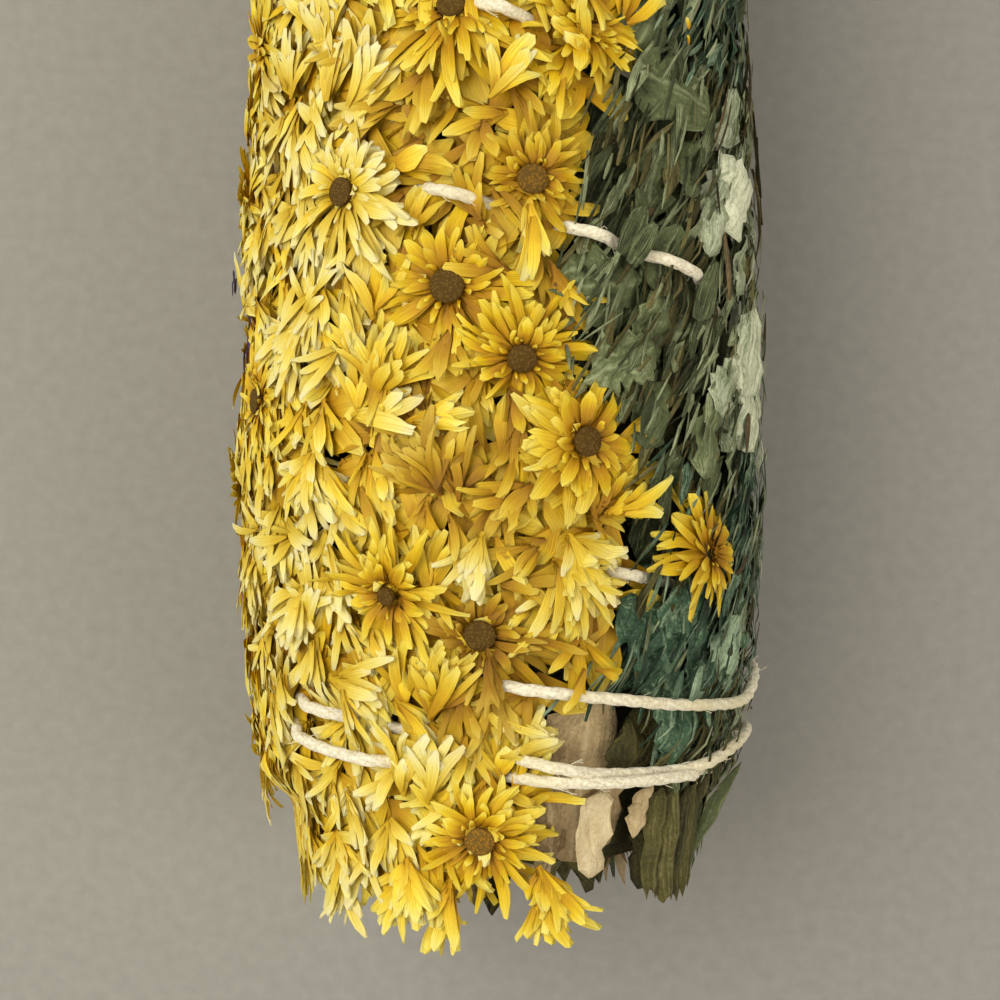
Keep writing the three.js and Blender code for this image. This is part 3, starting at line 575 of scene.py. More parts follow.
def makeSky():
    world = bpy.data.worlds.new("studio")
    bpy.context.scene.world = world
    world.use_nodes = True
    background = world.node_tree.nodes["Background"]
    background.inputs["Color"].default_value = (*light["sky"]["colour"], 1.0)
    background.inputs["Strength"].default_value = light["sky"]["strength"]


def makeFloor():
    bm = bmesh.new()
    bmesh.ops.create_grid(bm, x_segments=1, y_segments=1, size=floorLook["half"])
    mesh = bpy.data.meshes.new("floor")
    bm.to_mesh(mesh)
    bm.free()
    floor = bpy.data.objects.new("floor", mesh)
    bpy.context.scene.collection.objects.link(floor)
    material, tree, shader = newMaterial("table")
    speckle = addNoise(tree, objectPlace(tree), floorLook["speckle"], 4.0).outputs["Fac"]
    paint(tree, shader, addRamp(tree, speckle, floorLook["tones"]), floorLook)
    mesh.materials.append(material)


bpy.context.scene.view_settings.view_transform = "Standard"
makeCamera()
makeLight("keyLight", light["key"])
makeLight("fillLight", light["fill"])
makeSky()
makeFloor()
print("camera, light and floor made")

# Petals and blooms
petalForm = {
    "narrow": 2,
    "wide": 4,
    "wideFrom": 1.1,
    "rows": 5,
    "base": 0.4,
    "widest": 0.6,
    "pleat": 0.14,
    "sway": 0.3,
    "crumple": 0.22,
    "thickness": 0.09,
    # each petal takes one of these, or a value between two
    "cup": [0.2, 0.5, 0.9, -0.4],
    "twist": (-0.55, 0.55),
    "blunt": [1.8, 2.6, 4.0, 6.0],
    "notch": [0, 0, 0.1, 0.2],
    "tip": (0.4, 0.85),
    "wave": (0, 0.1),
}


def petalShape(length, width, curl, wave, seed, blunt=2.2, cup=0.5, twist=0.0, notch=0.0, tip=0.2):
    sway = petalForm["sway"] * length * math.sin(seed * 7)

    def shape(side, part):
        part = part ** 0.75
        grow = mix(petalForm["base"], 1, math.sin(min(1, part / petalForm["widest"]) * math.pi / 2))
        shrink = max(0.0, (part - petalForm["widest"]) / (1 - petalForm["widest"]))
        half = width / 2 * grow * (1 - (1 - tip) * shrink ** blunt)
        aside = side * half
        rise = cup * half * side * side + petalForm["pleat"] * half * math.cos(2.5 * math.pi * side)
        rise += wave * math.sin(5 * part + seed) * side
        turned = twist * part
        x = aside * math.cos(turned) - rise * math.sin(turned) + sway * part * part
        z = aside * math.sin(turned) + rise * math.cos(turned)
        jag = notch * length * max(0, part - 0.8) * 5 * (abs(math.sin(3.4 * side + seed)) - 0.5)
        jag -= 0.7 * half * side * side * max(0, part - 0.7) * 3.3
        z += petalForm["crumple"] * noise.noise(Vector((3 * x, 1.3 * length * part, 9 * seed)))
        bend = curl * part
        reach = length * part * (math.sin(bend) / bend if abs(bend) > 1e-4 else 1) + jag
        lift = length * part * ((1 - math.cos(bend)) / bend if abs(bend) > 1e-4 else 0)
        return Vector((x, reach - z * math.sin(bend), lift + z * math.cos(bend)))
    return shape


# how pale the petals are round the stick, as (angle, pale); the paler left side is partly painted light from the key
# lamp on that side, partly the petals' own colour. Also patches of (angle, along, reach, pale, age)
paleAndPaintedLightRound = [(-146, 0.05), (-100, 0.42), (-85, 0.5), (-60, 0.55), (-36, 0.54), (-24, 0.1), (-14, -0.2),
                 (30, -0.2)]
petalTone = [(-38, 1, 8, 0.3, -0.05), (-21, 5.5, 4, -0.15, 0.35), (2, 5.5, 4, -0.1, 0.3), (-4, -4, 7, -0.2, 0.35),
             (9, -3, 6, -0.15, 0.3), (-38, -8, 6, 0.3, -0.1), (-24, -12, 4, 0.2, 0.0), (1, -9, 3.5, -0.1, 0.2),
             (-9, -19, 6, -0.3, 0.5), (1, -22, 5.5, -0.3, 0.5), (20, -16, 4, 0.45, 0.0), (-53, -27, 8, 0.3, -0.25),
             (-35, -29, 7, 0.4, -0.15), (-6, -26, 4, 0.55, -0.15), (14, -27.5, 4.5, 0.6, -0.1),
             (1, -30, 6, -0.2, 0.3), (-4, -33, 4.5, 0.3, 0.35), (4, -36.5, 4, 0.5, 0.1), (-11, -35.5, 4, -0.2, 0.35),
             (-20, -41, 5, 0.8, -0.25), (-45, -40, 5, 0.3, -0.1), (0, -46, 6, 0.3, -0.35)]


toneGrain = {"size": 2.4, "seed": 4, "pale": 0.5, "age": -0.35}


def toneAt(angle, along):
    grain = noise.noise(Vector((across(angle) / toneGrain["size"], along / toneGrain["size"], toneGrain["seed"])))
    # the side turned to the key lamp comes out paler, partly as painted light
    pale = chain(paleAndPaintedLightRound, wrapAngle(angle)) + toneGrain["pale"] * grain
    age = toneGrain["age"] * grain
    for toneAngle, toneAlong, reach, morePale, moreAge in petalTone:
        apart = math.hypot(across(wrapAngle(angle - toneAngle)), along - toneAlong) / reach
        pale += morePale * math.exp(-apart * apart)
        age += moreAge * math.exp(-apart * apart)
    return pale, age


def addPetal(petals, length, width, put, tint, age, rng, curl, rows=petalForm["rows"]):
    shape = petalShape(length, width, curl=curl, cup=rng.choice(petalForm["cup"]),
                       twist=rng.uniform(*petalForm["twist"]), blunt=rng.choice(petalForm["blunt"]),
                       notch=rng.choice(petalForm["notch"]), tip=rng.uniform(*petalForm["tip"]),
                       wave=rng.uniform(*petalForm["wave"]), seed=rng.uniform(0, 6))
    columns = petalForm["wide"] if width > petalForm["wideFrom"] else petalForm["narrow"]
    addBlade(petals, columns, rows, shape, put, clamp(tint, 0, 1), clamp(age, 0, 1))


def bloomToPlace(angle, along, height, lean, bearing, top, over=False):
    # from a bloom's own space, its axis up, to its place on the stick
    toward = math.radians(bearing)
    tilt = Matrix.Rotation(math.radians(lean), 3, Vector((-math.sin(toward), math.cos(toward), 0)))
    radius = sageRadius(along) + height

    def toPlace(point):
        leant = tilt @ point
        return settled(angle + math.degrees(leant.x / radius), along + leant.y, height + leant.z, top, over)
    return toPlace


def petalPlace(toPlace, turn, rise, foot, footHeight):
    # from a petal's own space, lying along +Y, to its bloom's: turned to its side and raised
    spin = Matrix.Rotation(math.radians(turn - 90), 3, "Z")
    lift = Matrix.Rotation(math.radians(rise), 3, "X")

    def put(point):
        raised = lift @ point
        return toPlace(spin @ Vector((raised.x, raised.y + foot, raised.z + footHeight)))
    return put


bloomLayers = [
    {"count": 9, "length": 1.1, "width": 0.36, "rise": 40, "foot": 1.0, "height": 0.1, "pale": 0.1, "curl": 0.1},
    {"count": 19, "length": 2.4, "width": 0.62, "rise": 23, "foot": 0.9, "height": -0.1, "pale": -0.05, "curl": -0.3},
    {"count": 23, "length": 3.4, "width": 0.68, "rise": 14, "foot": 0.8, "height": -0.2, "pale": 0.15, "curl": -0.4},
    {"count": 25, "length": 4.3, "width": 0.72, "rise": 6, "foot": 0.7, "height": -0.4, "pale": 0.3, "curl": -0.35},
    {"count": 22, "length": 4.9, "width": 0.8, "rise": -3, "foot": 0.6, "height": -0.6, "pale": 0.2, "curl": -0.25},
]
# how much the petals of one bloom differ
bloomVary = {"turn": 0.45, "stretch": (0.6, 1.15), "width": (0.6, 1.35), "rise": 7, "tint": 0.16, "age": (-0.25, 0.2),
             "curl": 0.4, "paleShare": 0.5, "ageShare": 0.3}
discForm = {"radius": 1.08, "dome": 0.34, "segments": 20, "rings": 8, "grain": 0.06, "lift": 0.45, "sink": 0.1}
# what a bloom has where its own line doesn't say; "long" is where its longer petals point, and how much longer
bloomBasics = {"size": 1.0, "height": 3.3, "top": bundle["petalTop"], "closed": 0, "long": None, "many": 1.0,
               "wide": 1.0, "bald": 0.06, "firstLayer": 0, "age": 0.0, "discTint": 0.0}


def bloom(angle, along, lean, bearing, pale, disc, **more):
    return {"angle": angle, "along": along, "lean": lean, "bearing": bearing, "pale": pale, "disc": disc,
            **bloomBasics, **more}


def addBloom(petals, discs, spec, rng):
    size = spec["size"]
    toPlace = bloomToPlace(spec["angle"], spec["along"], spec["height"], spec["lean"], spec["bearing"], spec["top"])
    morePale, moreAge = toneAt(spec["angle"], spec["along"])
    for layer in bloomLayers[spec["firstLayer"]:]:
        start = rng.uniform(0, 360)
        count = round(layer["count"] * spec["many"])
        for index in range(count):
            turn = start + 360 / count * (index + rng.uniform(-bloomVary["turn"], bloomVary["turn"]))
            if rng.random() < spec["bald"]:
                continue
            stretch = rng.uniform(*bloomVary["stretch"])
            if spec["long"]:
                stretch *= 1 + spec["long"][1] * math.cos(math.radians(turn - spec["long"][0]))
            width = layer["width"] * size * rng.uniform(*bloomVary["width"]) * spec["wide"]
            rise = layer["rise"] + spec["closed"] + rng.uniform(-bloomVary["rise"], bloomVary["rise"])
            put = petalPlace(toPlace, turn, rise, layer["foot"] * size, layer["height"])
            tint = layer["pale"] + spec["pale"] + bloomVary["paleShare"] * morePale + rng.gauss(0, bloomVary["tint"])
            age = spec["age"] + bloomVary["ageShare"] * moreAge + rng.uniform(*bloomVary["age"])
            addPetal(petals, layer["length"] * size * stretch, width, put, tint, age, rng,
                     layer["curl"] + rng.uniform(-bloomVary["curl"], bloomVary["curl"]))
    if spec["disc"]:
        addDisc(discs, toPlace, spec["disc"] * size, spec["discTint"], rng)


def addDisc(discs, toPlace, size, tint, rng):
    # a low dome with a grainy top
    made = bmesh.ops.create_uvsphere(discs, u_segments=discForm["segments"], v_segments=discForm["rings"],
                                     radius=discForm["radius"] * size)
    tintLayer = discs.verts.layers.float["tint"]
    seed = rng.uniform(0, 50)
    for vert in made["verts"]:
        spot = vert.co.copy()
        grain = discForm["grain"] * noise.noise(Vector((spot.x * 4, spot.y * 4, seed)))
        spot.z = spot.z * discForm["dome"] + grain + (discForm["lift"] if spot.z > -0.1 else discForm["sink"])
        vert.co = toPlace(spot)
        vert[tintLayer] = tint


# tufts are crushed blooms: a fan of petals from one hidden base
tuftForm = {"length": (1.9, 4.4), "width": (0.45, 0.95), "foot": (-0.4, 1.1), "footHeight": (-0.5, 0.5), "many": 2.1,
            "pale": 0.26, "tint": 0.14, "age": (-0.2, 0.2), "curl": (-1.1, 0.35)}
tuftBasics = {"size": 1.0, "height": 2.2, "top": 4.5, "rise": (-4, 19), "wide": 1.0, "age": 0.0, "rows": 5,
              "over": False}


def tuft(angle, along, bearing, spread, pale, count, **more):
    return {"angle": angle, "along": along, "bearing": bearing, "spread": spread, "pale": pale, "count": count,
            **tuftBasics, **more}


def crushed(angle, along, bearing, pale, spread=55, **more):
    # a whole bloom crushed to one side
    return tuft(angle, along, bearing, spread, pale, 24, height=3.2, rise=(-2, 36), top=4.95, **more)


def layOver(angle, along, bearing, spread, pale, count, **more):
    # a few flat petals over the string
    return tuft(angle, along, bearing, spread, pale, count, rise=(-4, 6), over=True, **more)


def addTuft(petals, spec, rng):
    toPlace = bloomToPlace(spec["angle"], spec["along"], spec["height"], 0, 0, spec["top"], spec["over"])
    morePale, moreAge = toneAt(spec["angle"], spec["along"])
    morePale *= 1 - clamp(spec["pale"], 0, 0.8)
    moreAge *= 1 - clamp(1.4 * spec["pale"], 0, 1)
    for index in range(round(spec["count"] * tuftForm["many"])):
        turn = spec["bearing"] + spec["spread"] * rng.triangular(-1, 1, 0)
        width = rng.uniform(*tuftForm["width"]) * spec["size"] * spec["wide"]
        put = petalPlace(toPlace, turn, rng.uniform(*spec["rise"]), rng.uniform(*tuftForm["foot"]),
                         rng.uniform(*tuftForm["footHeight"]))
        tint = tuftForm["pale"] + spec["pale"] + morePale + rng.gauss(0, tuftForm["tint"])
        age = spec["age"] + moreAge + rng.uniform(*tuftForm["age"])
        addPetal(petals, rng.uniform(*tuftForm["length"]) * spec["size"], width, put, tint, age, rng,
                 rng.uniform(*tuftForm["curl"]), spec["rows"])


# bearings are turned from the right, and 90 is the tip end
keyBlooms = [
    bloom(-33, -4.0, 14, 190, 0.8, 0.8, age=-0.2, size=1.08, height=3.7, top=5.05, long=(240, 0.35)),
    bloom(-10.2, -10.2, 5, 200, -0.25, 0.98, size=1.04, height=3.3),
    bloom(4.2, -14.6, 26, 272, -0.3, 0.96, size=0.88, height=3.5, top=5.0),
    bloom(16.7, -19.8, 18, 0, 0.15, 0.86, size=1.02, wide=1.35, many=0.8, long=(0, 0.15), height=3.4),
    bloom(6.5, -3.6, 12, 250, -0.3, 1.05, age=0.2, size=0.84, discTint=0.5),
    bloom(-4, -31.8, 8, 90, 0.1, 0.85, age=0.5, size=1.05, wide=0.8, long=(280, 0.25), bald=0.2, height=3.2),
    bloom(-4.4, -44.6, 16, 262, -0.2, 0.85, size=1.02, discTint=1.0, long=(270, 0.15), height=3.2),
    bloom(-63, -16.8, 8, 180, 0.0, 0.8),
    bloom(-23, -29.3, 26, 240, -0.25, 0.55, closed=20, bald=0.25),
    bloom(-10, 7.2, 24, 100, -0.05, 0.85, long=(270, 0.3), bald=0.25),
    bloom(18, 6.3, 30, 40, -0.1, 0, closed=26, long=(60, 0.3), bald=0.2, size=0.9),
    crushed(-40, 5.2, 95, 0.2, spread=40),
    crushed(-45, -12.4, 215, 0.1),
    crushed(-40, -20.3, 250, -0.05),
    crushed(-14, -36.8, 78, -0.2, spread=45),
    crushed(-40, -44.8, 264, 0.05),
    crushed(11, -27.2, 318, 0.1, spread=60, age=0.1),
    crushed(-70, -40.5, 268, 0.1, spread=30),
    crushed(-65, -26.5, 265, 0.0, spread=35),
    crushed(-12, -22.8, 120, -0.1, age=0.15),
    crushed(-45, -29.2, 235, 0.05),
    crushed(-25, -16.8, 75, 0.0),
    crushed(9, -46.6, 290, -0.1, spread=40),
    crushed(-62, -5.0, 255, 0.0, spread=35),
    crushed(-21, -46.2, 265, 0.0, spread=50),
    bloom(48, -26.8, 24, 60, -0.3, 0, age=0.22, size=0.92, height=4.1, top=5.4, wide=1.1, many=0.75, bald=0.1,
          closed=6, long=(150, 0.25)),
]


def makeKeyBlooms():
    for index, spec in enumerate(keyBlooms):
        rng = random.Random(f"bloom {index}")
        petals, discs = newPiece(), newPiece()
        if "lean" in spec:
            addBloom(petals, discs, spec, rng)
        else:
            addTuft(petals, spec, rng)
        finishBloom(petals, discs, f"bloom{index + 1:02d}", [f"yellow_bloom_{index + 1:02d}"])
    print("key blooms made")


def finishBloom(petals, discs, name, nodes):
    finishPetals(petals, name, nodes)
    if discs.verts:
        finishPiece(discs, name + "Disc", discFinish)
    else:
        discs.free()


def finishPetals(petals, name, nodes=()):
    finishPiece(petals, name, petalFinish, nodes, petalForm["thickness"])


# blooms of the hidden side and of the far half, as (offset along, angle) of each spray; rows slant with the string
sprayRows = {
    1: [(-34.7, -132), (-34.7, -98)],
    2: [(-25, -132), (-25, -98)],
    3: [(-14.8, -132), (-14.8, -98), (-4.8, -132), (-4.8, -98)],
    4: [(6.5, -132), (6.5, -98), (6.5, -70)],
    5: [(17.6, -129), (17.6, -84), (17.6, -39), (17.6, 7), (25.9, -129), (25.9, -84), (25.9, -39), (25.9, 7)],
    6: [(36.3, -129), (36.3, -84), (36.3, -39), (36.3, 7)],
}
# rows at the two ends run straight round
endRows = {
    7: [(-41.5, -132), (-41.5, -98), (-48, -132), (-48, -98)],
    8: [(47.4, -129), (47.4, -84), (47.4, -39), (47.4, 7)],
}


sprayForm = {"lean": (4, 34), "pale": (-0.3, 0.35), "disc": [0, 0.85, 1.0], "closed": (0, 14), "height": 3.4,
             "size": (0.95, 1.1)}


def sprayPlaces(number):
    if number in endRows:
        return [(angle, along) for along, angle in endRows[number]]
    slope = stringRoute["pitch"] / 360
    return [(angle, stringRoute["atTop"] + offset - angle * slope) for offset, angle in sprayRows[number]]


def makeSprays():
    for number in range(1, 9):
        rng = random.Random(f"spray {number}")
        petals, discs = newPiece(), newPiece()
        for angle, along in sprayPlaces(number):
            spec = bloom(angle, along, rng.uniform(*sprayForm["lean"]), rng.uniform(0, 360),
                         rng.uniform(*sprayForm["pale"]), rng.choice(sprayForm["disc"]),
                         closed=rng.uniform(*sprayForm["closed"]), firstLayer=1, height=sprayForm["height"],
                         size=rng.uniform(*sprayForm["size"]))
            addBloom(petals, discs, spec, rng)
        finishBloom(petals, discs, f"spray{number}", [f"bloom_spray_{number}"])
    print("bloom sprays made")


# crushed blooms that show in the view from above
shownTufts = [
    tuft(-38.5, 2.4, 80, 26, 0.75, 9, wide=1.5, height=3.4),
    tuft(-32, 1.6, 40, 26, 0.75, 6, wide=1.7, height=3.5),
    tuft(-42, -0.2, 95, 26, 0.6, 8, wide=1.2, height=3.0),
    tuft(-47.5, -4.4, 215, 35, 0.6, 7, height=3.2),
    tuft(-28.7, 3.2, 100, 30, 0.4, 7, wide=1.3, height=3.2),
    tuft(-50, 3.0, 110, 40, 0.5, 9, height=3.4),
    tuft(15, 5.0, 250, 60, -0.15, 12, size=0.85, height=3.0),
    tuft(17, 4.4, 100, 40, 0.5, 5, wide=1.2, height=4.0, top=5.0),
    tuft(-9.6, 6.6, 270, 40, 0.0, 10, height=3.2),
    tuft(-1.5, 1.4, 60, 30, 0.7, 4, wide=1.3, height=3.9, top=5.0),
    tuft(-22.5, -2.7, 0, 12, -0.1, 3, wide=1.6, height=3.8, top=5.0),
    tuft(-41, -10.2, 240, 40, 0.6, 9, height=3.3),
    tuft(-33.5, -13.6, 200, 60, 0.45, 9, height=3.3),
    tuft(-47, -14.0, 150, 40, 0.75, 8, wide=1.2, height=3.4),
    tuft(-30, -18.2, 10, 26, 0.6, 6, wide=1.3, height=3.5),
    tuft(-18, -18.6, 5, 20, 0.6, 5, wide=1.2, height=3.5),
    tuft(-44, -30.6, 80, 60, 0.7, 10, wide=1.2, height=3.3),
    tuft(-52, -24.0, 230, 50, 0.5, 9, height=3.3),
    tuft(-20.7, -41.6, 98, 30, 0.85, 14, height=3.9, top=5.1),
    tuft(-15.2, -42.2, 80, 26, 0.75, 9, height=3.8, top=5.1),
    tuft(0, -40.6, 90, 70, 0.3, 7, height=2.6),
    tuft(2, -42.6, 60, 60, 0.0, 6, height=2.2),
    tuft(1.0, -39.3, 15, 34, 0.7, 7, size=0.8, height=3.0),
    tuft(-2.5, -36.6, 325, 30, 0.55, 5, size=0.9, height=3.0),
    layOver(16.5, -33.6, 262, 14, -0.1, 2, size=0.7, height=4.6, top=5.3),
    layOver(18.5, -33.9, 350, 10, -0.1, 1, size=0.6, height=4.3, top=5.3),
    tuft(-3.6, -25.6, 258, 38, 0.85, 12, height=3.9, top=5.0),
    tuft(13.5, -25.8, 318, 60, 0.65, 16, height=3.8, top=5.0),
    tuft(22, -24.2, 20, 30, 0.5, 6, height=3.6),
    tuft(-36.3, -21.6, 300, 12, -0.1, 4, wide=1.6, height=3.6),
    tuft(-9.5, -24.6, 285, 30, 0.2, 4, wide=1.1, height=3.3),
    tuft(3.8, -18.6, 260, 22, -0.1, 6, height=3.2),
    tuft(5.5, -5.0, 270, 24, 0.75, 4, wide=1.1, height=3.9, top=5.0),
    tuft(10, -9.0, 300, 24, 0.1, 5, wide=1.1, height=3.6),
    tuft(-84, -41.6, 264, 12, 0.6, 7, height=3.6, over=True),
    tuft(9.3, -47.2, 290, 34, -0.15, 12, height=3.0),
    tuft(-11.7, -47.4, 262, 34, 0.0, 12, height=2.8),
    tuft(-40, -46.4, 268, 24, 0.25, 12, height=2.8),
    tuft(-56, -44.4, 268, 22, 0.1, 10, height=2.4),
    layOver(-51, -34.6, 262, 16, 0.3, 4, size=0.9, height=4.4, top=5.2),
    layOver(-55.5, -36.2, 268, 18, 0.4, 4, size=0.9, height=4.4, top=5.2),
    layOver(-33, -35.6, 285, 18, 0.4, 4, size=0.8, height=4.3, top=5.2),
    tuft(42, 5.6, 95, 20, 0.1, 1, size=0.35, height=4.4, top=5.2, over=True),
    layOver(-2.5, -32.6, 276, 14, 0.1, 3, age=0.3, size=0.8, height=4.3, top=5.2),
]
# lower petals close the gaps between the blooms, in bands as (along from, along to, spacing)
infill = {
    "bands": [(-46.5, -24, 2.6), (-24, 2, 2.6), (2, 25, 2.7), (25, 46.5, 3.0)],
    "margin": 3,
    "count": 6,
    "sideFrom": -42,
    "bearings": ([270, 262, 280, 240, 300, 90, 200, 340], 25),
    "sideBearings": ([268, 268, 308, 228, 428], 30),
    "spread": (25, 70),
    "pale": (-0.2, 0.25),
    "age": (-0.05, 0.15),
    "height": (2.4, 3.5),
    "rise": (-6, 20),
    "rows": 4,
    "top": 4.7,
    "topNearDisc": 4.2,
    "nearDisc": 5.5,
    "offDisc": 1.7,
}


def isYellow(angle, along, margin=0.0):
    edge = bundle["yellowFar"] if along > bundle["yellowFarFrom"] else chain(yellowBorder, along)
    return bundle["yellowBack"] < angle < edge - margin


def makeTufts():
    rng = random.Random("shown tufts")
    petals = newPiece()
    for spec in shownTufts:
        addTuft(petals, spec, rng)
    finishPetals(petals, "tufts")
    print("tufts made")


def discGap(angle, along):
    # how far a place is from the nearest disc that shows
    return min(math.hypot(across(wrapAngle(angle - spec["angle"])), along - spec["along"])
               for spec in keyBlooms if spec.get("disc"))


def infillBearing(angle, rng):
    bearings, swing = infill["bearings" if angle > infill["sideFrom"] else "sideBearings"]
    return rng.choice(bearings) + rng.uniform(-swing, swing)


def makeInfill():
    for number, (start, end, spacing) in enumerate(infill["bands"]):
        rng = random.Random(f"infill {number}")
        petals = newPiece()
        for angle, along in scatter(spacing, start, end, rng):
            gap = discGap(angle, along)
            if not isYellow(angle, along, infill["margin"]) or gap < infill["offDisc"]:
                continue
            spec = tuft(angle, along, infillBearing(angle, rng), rng.uniform(*infill["spread"]),
                        rng.uniform(*infill["pale"]), infill["count"], age=rng.uniform(*infill["age"]),
                        height=rng.uniform(*infill["height"]), rise=infill["rise"], rows=infill["rows"],
                        top=infill["top"] if gap > infill["nearDisc"] else infill["topNearDisc"])
            addTuft(petals, spec, rng)
        finishPetals(petals, f"petalInfill{number + 1}")
    print("petal infill made")


# broad petals of a deeper, aged golden-brown close the ground under the blooms, their colour painted shade for the
# gaps between them; past "buttFrom" they stay further from the leaves
groundForm = {"spacing": 1.4, "along": (-46.5, 46.5), "length": (2.8, 4.6), "width": (1.3, 2.4), "height": (1.7, 2.9),
              "rise": (-3, 12), "curl": -0.3, "wave": 0.1, "tint": (0.1, 0.5), "age": (0.0, 0.45), "grid": (2, 3),
              "top": 3.5, "margin": -1, "buttMargin": 5, "buttFrom": -32}


def makeGround():
    rng = random.Random("ground")
    petals = newPiece()
    for angle, along in scatter(groundForm["spacing"], *groundForm["along"], rng):
        if not isYellow(angle, along, groundForm["buttMargin" if along < groundForm["buttFrom"] else "margin"]):
            continue
        toPlace = bloomToPlace(angle, along, rng.uniform(*groundForm["height"]), 0, 0, groundForm["top"])
        put = petalPlace(toPlace, rng.uniform(0, 360), rng.uniform(*groundForm["rise"]), 0, 0)
        shape = petalShape(rng.uniform(*groundForm["length"]), rng.uniform(*groundForm["width"]),
                           curl=groundForm["curl"], wave=groundForm["wave"], seed=rng.uniform(0, 6))
        # a low tint and some age give these petals the deeper golden-brown of painted shade
        addBlade(petals, *groundForm["grid"], shape, put, rng.uniform(*groundForm["tint"]),
                 rng.uniform(*groundForm["age"]))
    finishPetals(petals, "petalGroundShade")
    print("petal ground made")


def scatter(spacing, alongFrom, alongTo, rng, angleFrom=-180, angleTo=180):
    # a loose grid of places round the stick
    places, jitter = [], 0.42
    rows = max(1, round((alongTo - alongFrom) / spacing))
    columns = max(1, round(across(angleTo - angleFrom) / spacing))
    for row in range(rows):
        for column in range(columns):
            shiftRow = rng.uniform(-jitter, jitter)
            shiftColumn = rng.uniform(-jitter, jitter) + 0.5 * (row % 2)
            along = mix(alongFrom, alongTo, (row + 0.5 + shiftRow) / rows)
            angle = wrapAngle(mix(angleFrom, angleTo, (column + 0.5 + shiftColumn) / columns))
            places.append((angle, along))
    return places


makeKeyBlooms()
makeSprays()
makeTufts()
makeInfill()
makeGround()

# Leaves
# what a leaf has where its own line doesn't say; the pairs from "curl" on are the ends of a draw
leafForm = {"grid": (7, 10), "thickness": 0.14, "base": 0.22, "crumple": 0.85, "curl": (-0.3, 0.3),
            "fold": (-0.1, 0.35), "ragged": 0.38, "taper": 0.5, "twist": (-0.3, 0.3), "blunt": 0.12, "height": 2.9,
            "tip": (-5, 8), "roll": (-10, 10), "top": 4.8, "tintVary": 0.06}


def leafShape(length, width, rng, crumple, fold, ragged, taper, curl=0.1, twist=0.0, tip=0.12):
    seed = rng.uniform(0, 90)

    def shape(side, part):
        swell = math.sin(math.pi * part ** 0.8) ** taper if 0 < part < 1 else 0
        half = width / 2 * mix(tip if part > 0.5 else leafForm["base"], 1, swell)
        edge = noise.noise(Vector((part * 9, math.copysign(3, side), seed)))
        half *= 1 + ragged * (edge + 0.8 * noise.noise(Vector((part * 3.5, side, seed))))
        x = side * half
        y = length * (part + 0.4 * ragged * noise.noise(Vector((side * 4, seed, 2))) * part)
        rise = -fold * abs(side) * half
        rise += crumple * noise.noise(Vector((x * 0.55, y * 0.55, seed)))
        rise += 0.45 * crumple * noise.noise(Vector((x * 1.5, y * 1.5, seed + 9)))
        turned = twist * (part - 0.5)
        bend = curl * (part - 0.5)
        xTurned = x * math.cos(turned) - rise * math.sin(turned)
        rise = x * math.sin(turned) + rise * math.cos(turned)
        return Vector((xTurned, y - length / 2, rise + length * bend * (part - 0.5)))
    return shape


def leafPlace(angle, along, height, bearing, tip, roll, top, over):
    # from a leaf's own space, lying along +Y round its middle, to its place on the stick
    spin = Matrix.Rotation(math.radians(bearing - 90), 3, "Z")
    lean = Matrix.Rotation(math.radians(tip), 3, "X") @ Matrix.Rotation(math.radians(roll), 3, "Y")
    radius = sageRadius(along) + height

    def put(point):
        turned = spin @ (lean @ point)
        return settled(angle + math.degrees(turned.x / radius), along + turned.y, height + turned.z, top, over)
    return put


def leaf(angle, along, length, width, bearing, tint=0.5, **more):
    return {"angle": angle, "along": along, "length": length, "width": width, "bearing": bearing, "tint": tint,
            **more}


def addLeaf(bm, spec, rng):
    def own(key):
        return spec.get(key, leafForm[key])

    def drawn(key):
        value = rng.uniform(*leafForm[key])
        return spec.get(key, value)
    shape = leafShape(spec["length"], spec["width"], rng, curl=drawn("curl"), fold=drawn("fold"),
                      twist=drawn("twist"), crumple=own("crumple"), ragged=own("ragged"), taper=own("taper"),
                      tip=own("blunt"))
    put = leafPlace(spec["angle"], spec["along"], own("height"), spec["bearing"], drawn("tip"), drawn("roll"),
                    own("top"), spec.get("over", False))
    vary = leafForm["tintVary"]
    addBlade(bm, *own("grid"), shape, put, clamp(spec["tint"] + rng.uniform(-vary, vary), 0, 1))


def addLeavesRound(bm, angle, along, form, rng):
    # loose leaves round one place
    for index in range(form["count"]):
        addLeaf(bm, leaf(angle + rng.uniform(-form["aside"], form["aside"]),
                         along + rng.uniform(-form["ahead"], form["ahead"]), rng.uniform(*form["length"]),
                         rng.uniform(*form["width"]), rng.uniform(*form["bearing"]),
                         height=rng.uniform(*form["height"]), tint=rng.uniform(*form["tint"]),
                         **form.get("more", {})), rng)


# long leaves folded side by side, with blunt ends
folded = {"blunt": 0.65, "fold": 0.9, "taper": 0.14, "ragged": 0.3, "crumple": 0.5, "twist": 0.0, "curl": 0.0,
          "tip": 0, "roll": 0}


def foldedLeaf(angle, along, length, width, bearing, tint, height):
    return leaf(angle, along, length, width, bearing, tint, height=height, **folded)


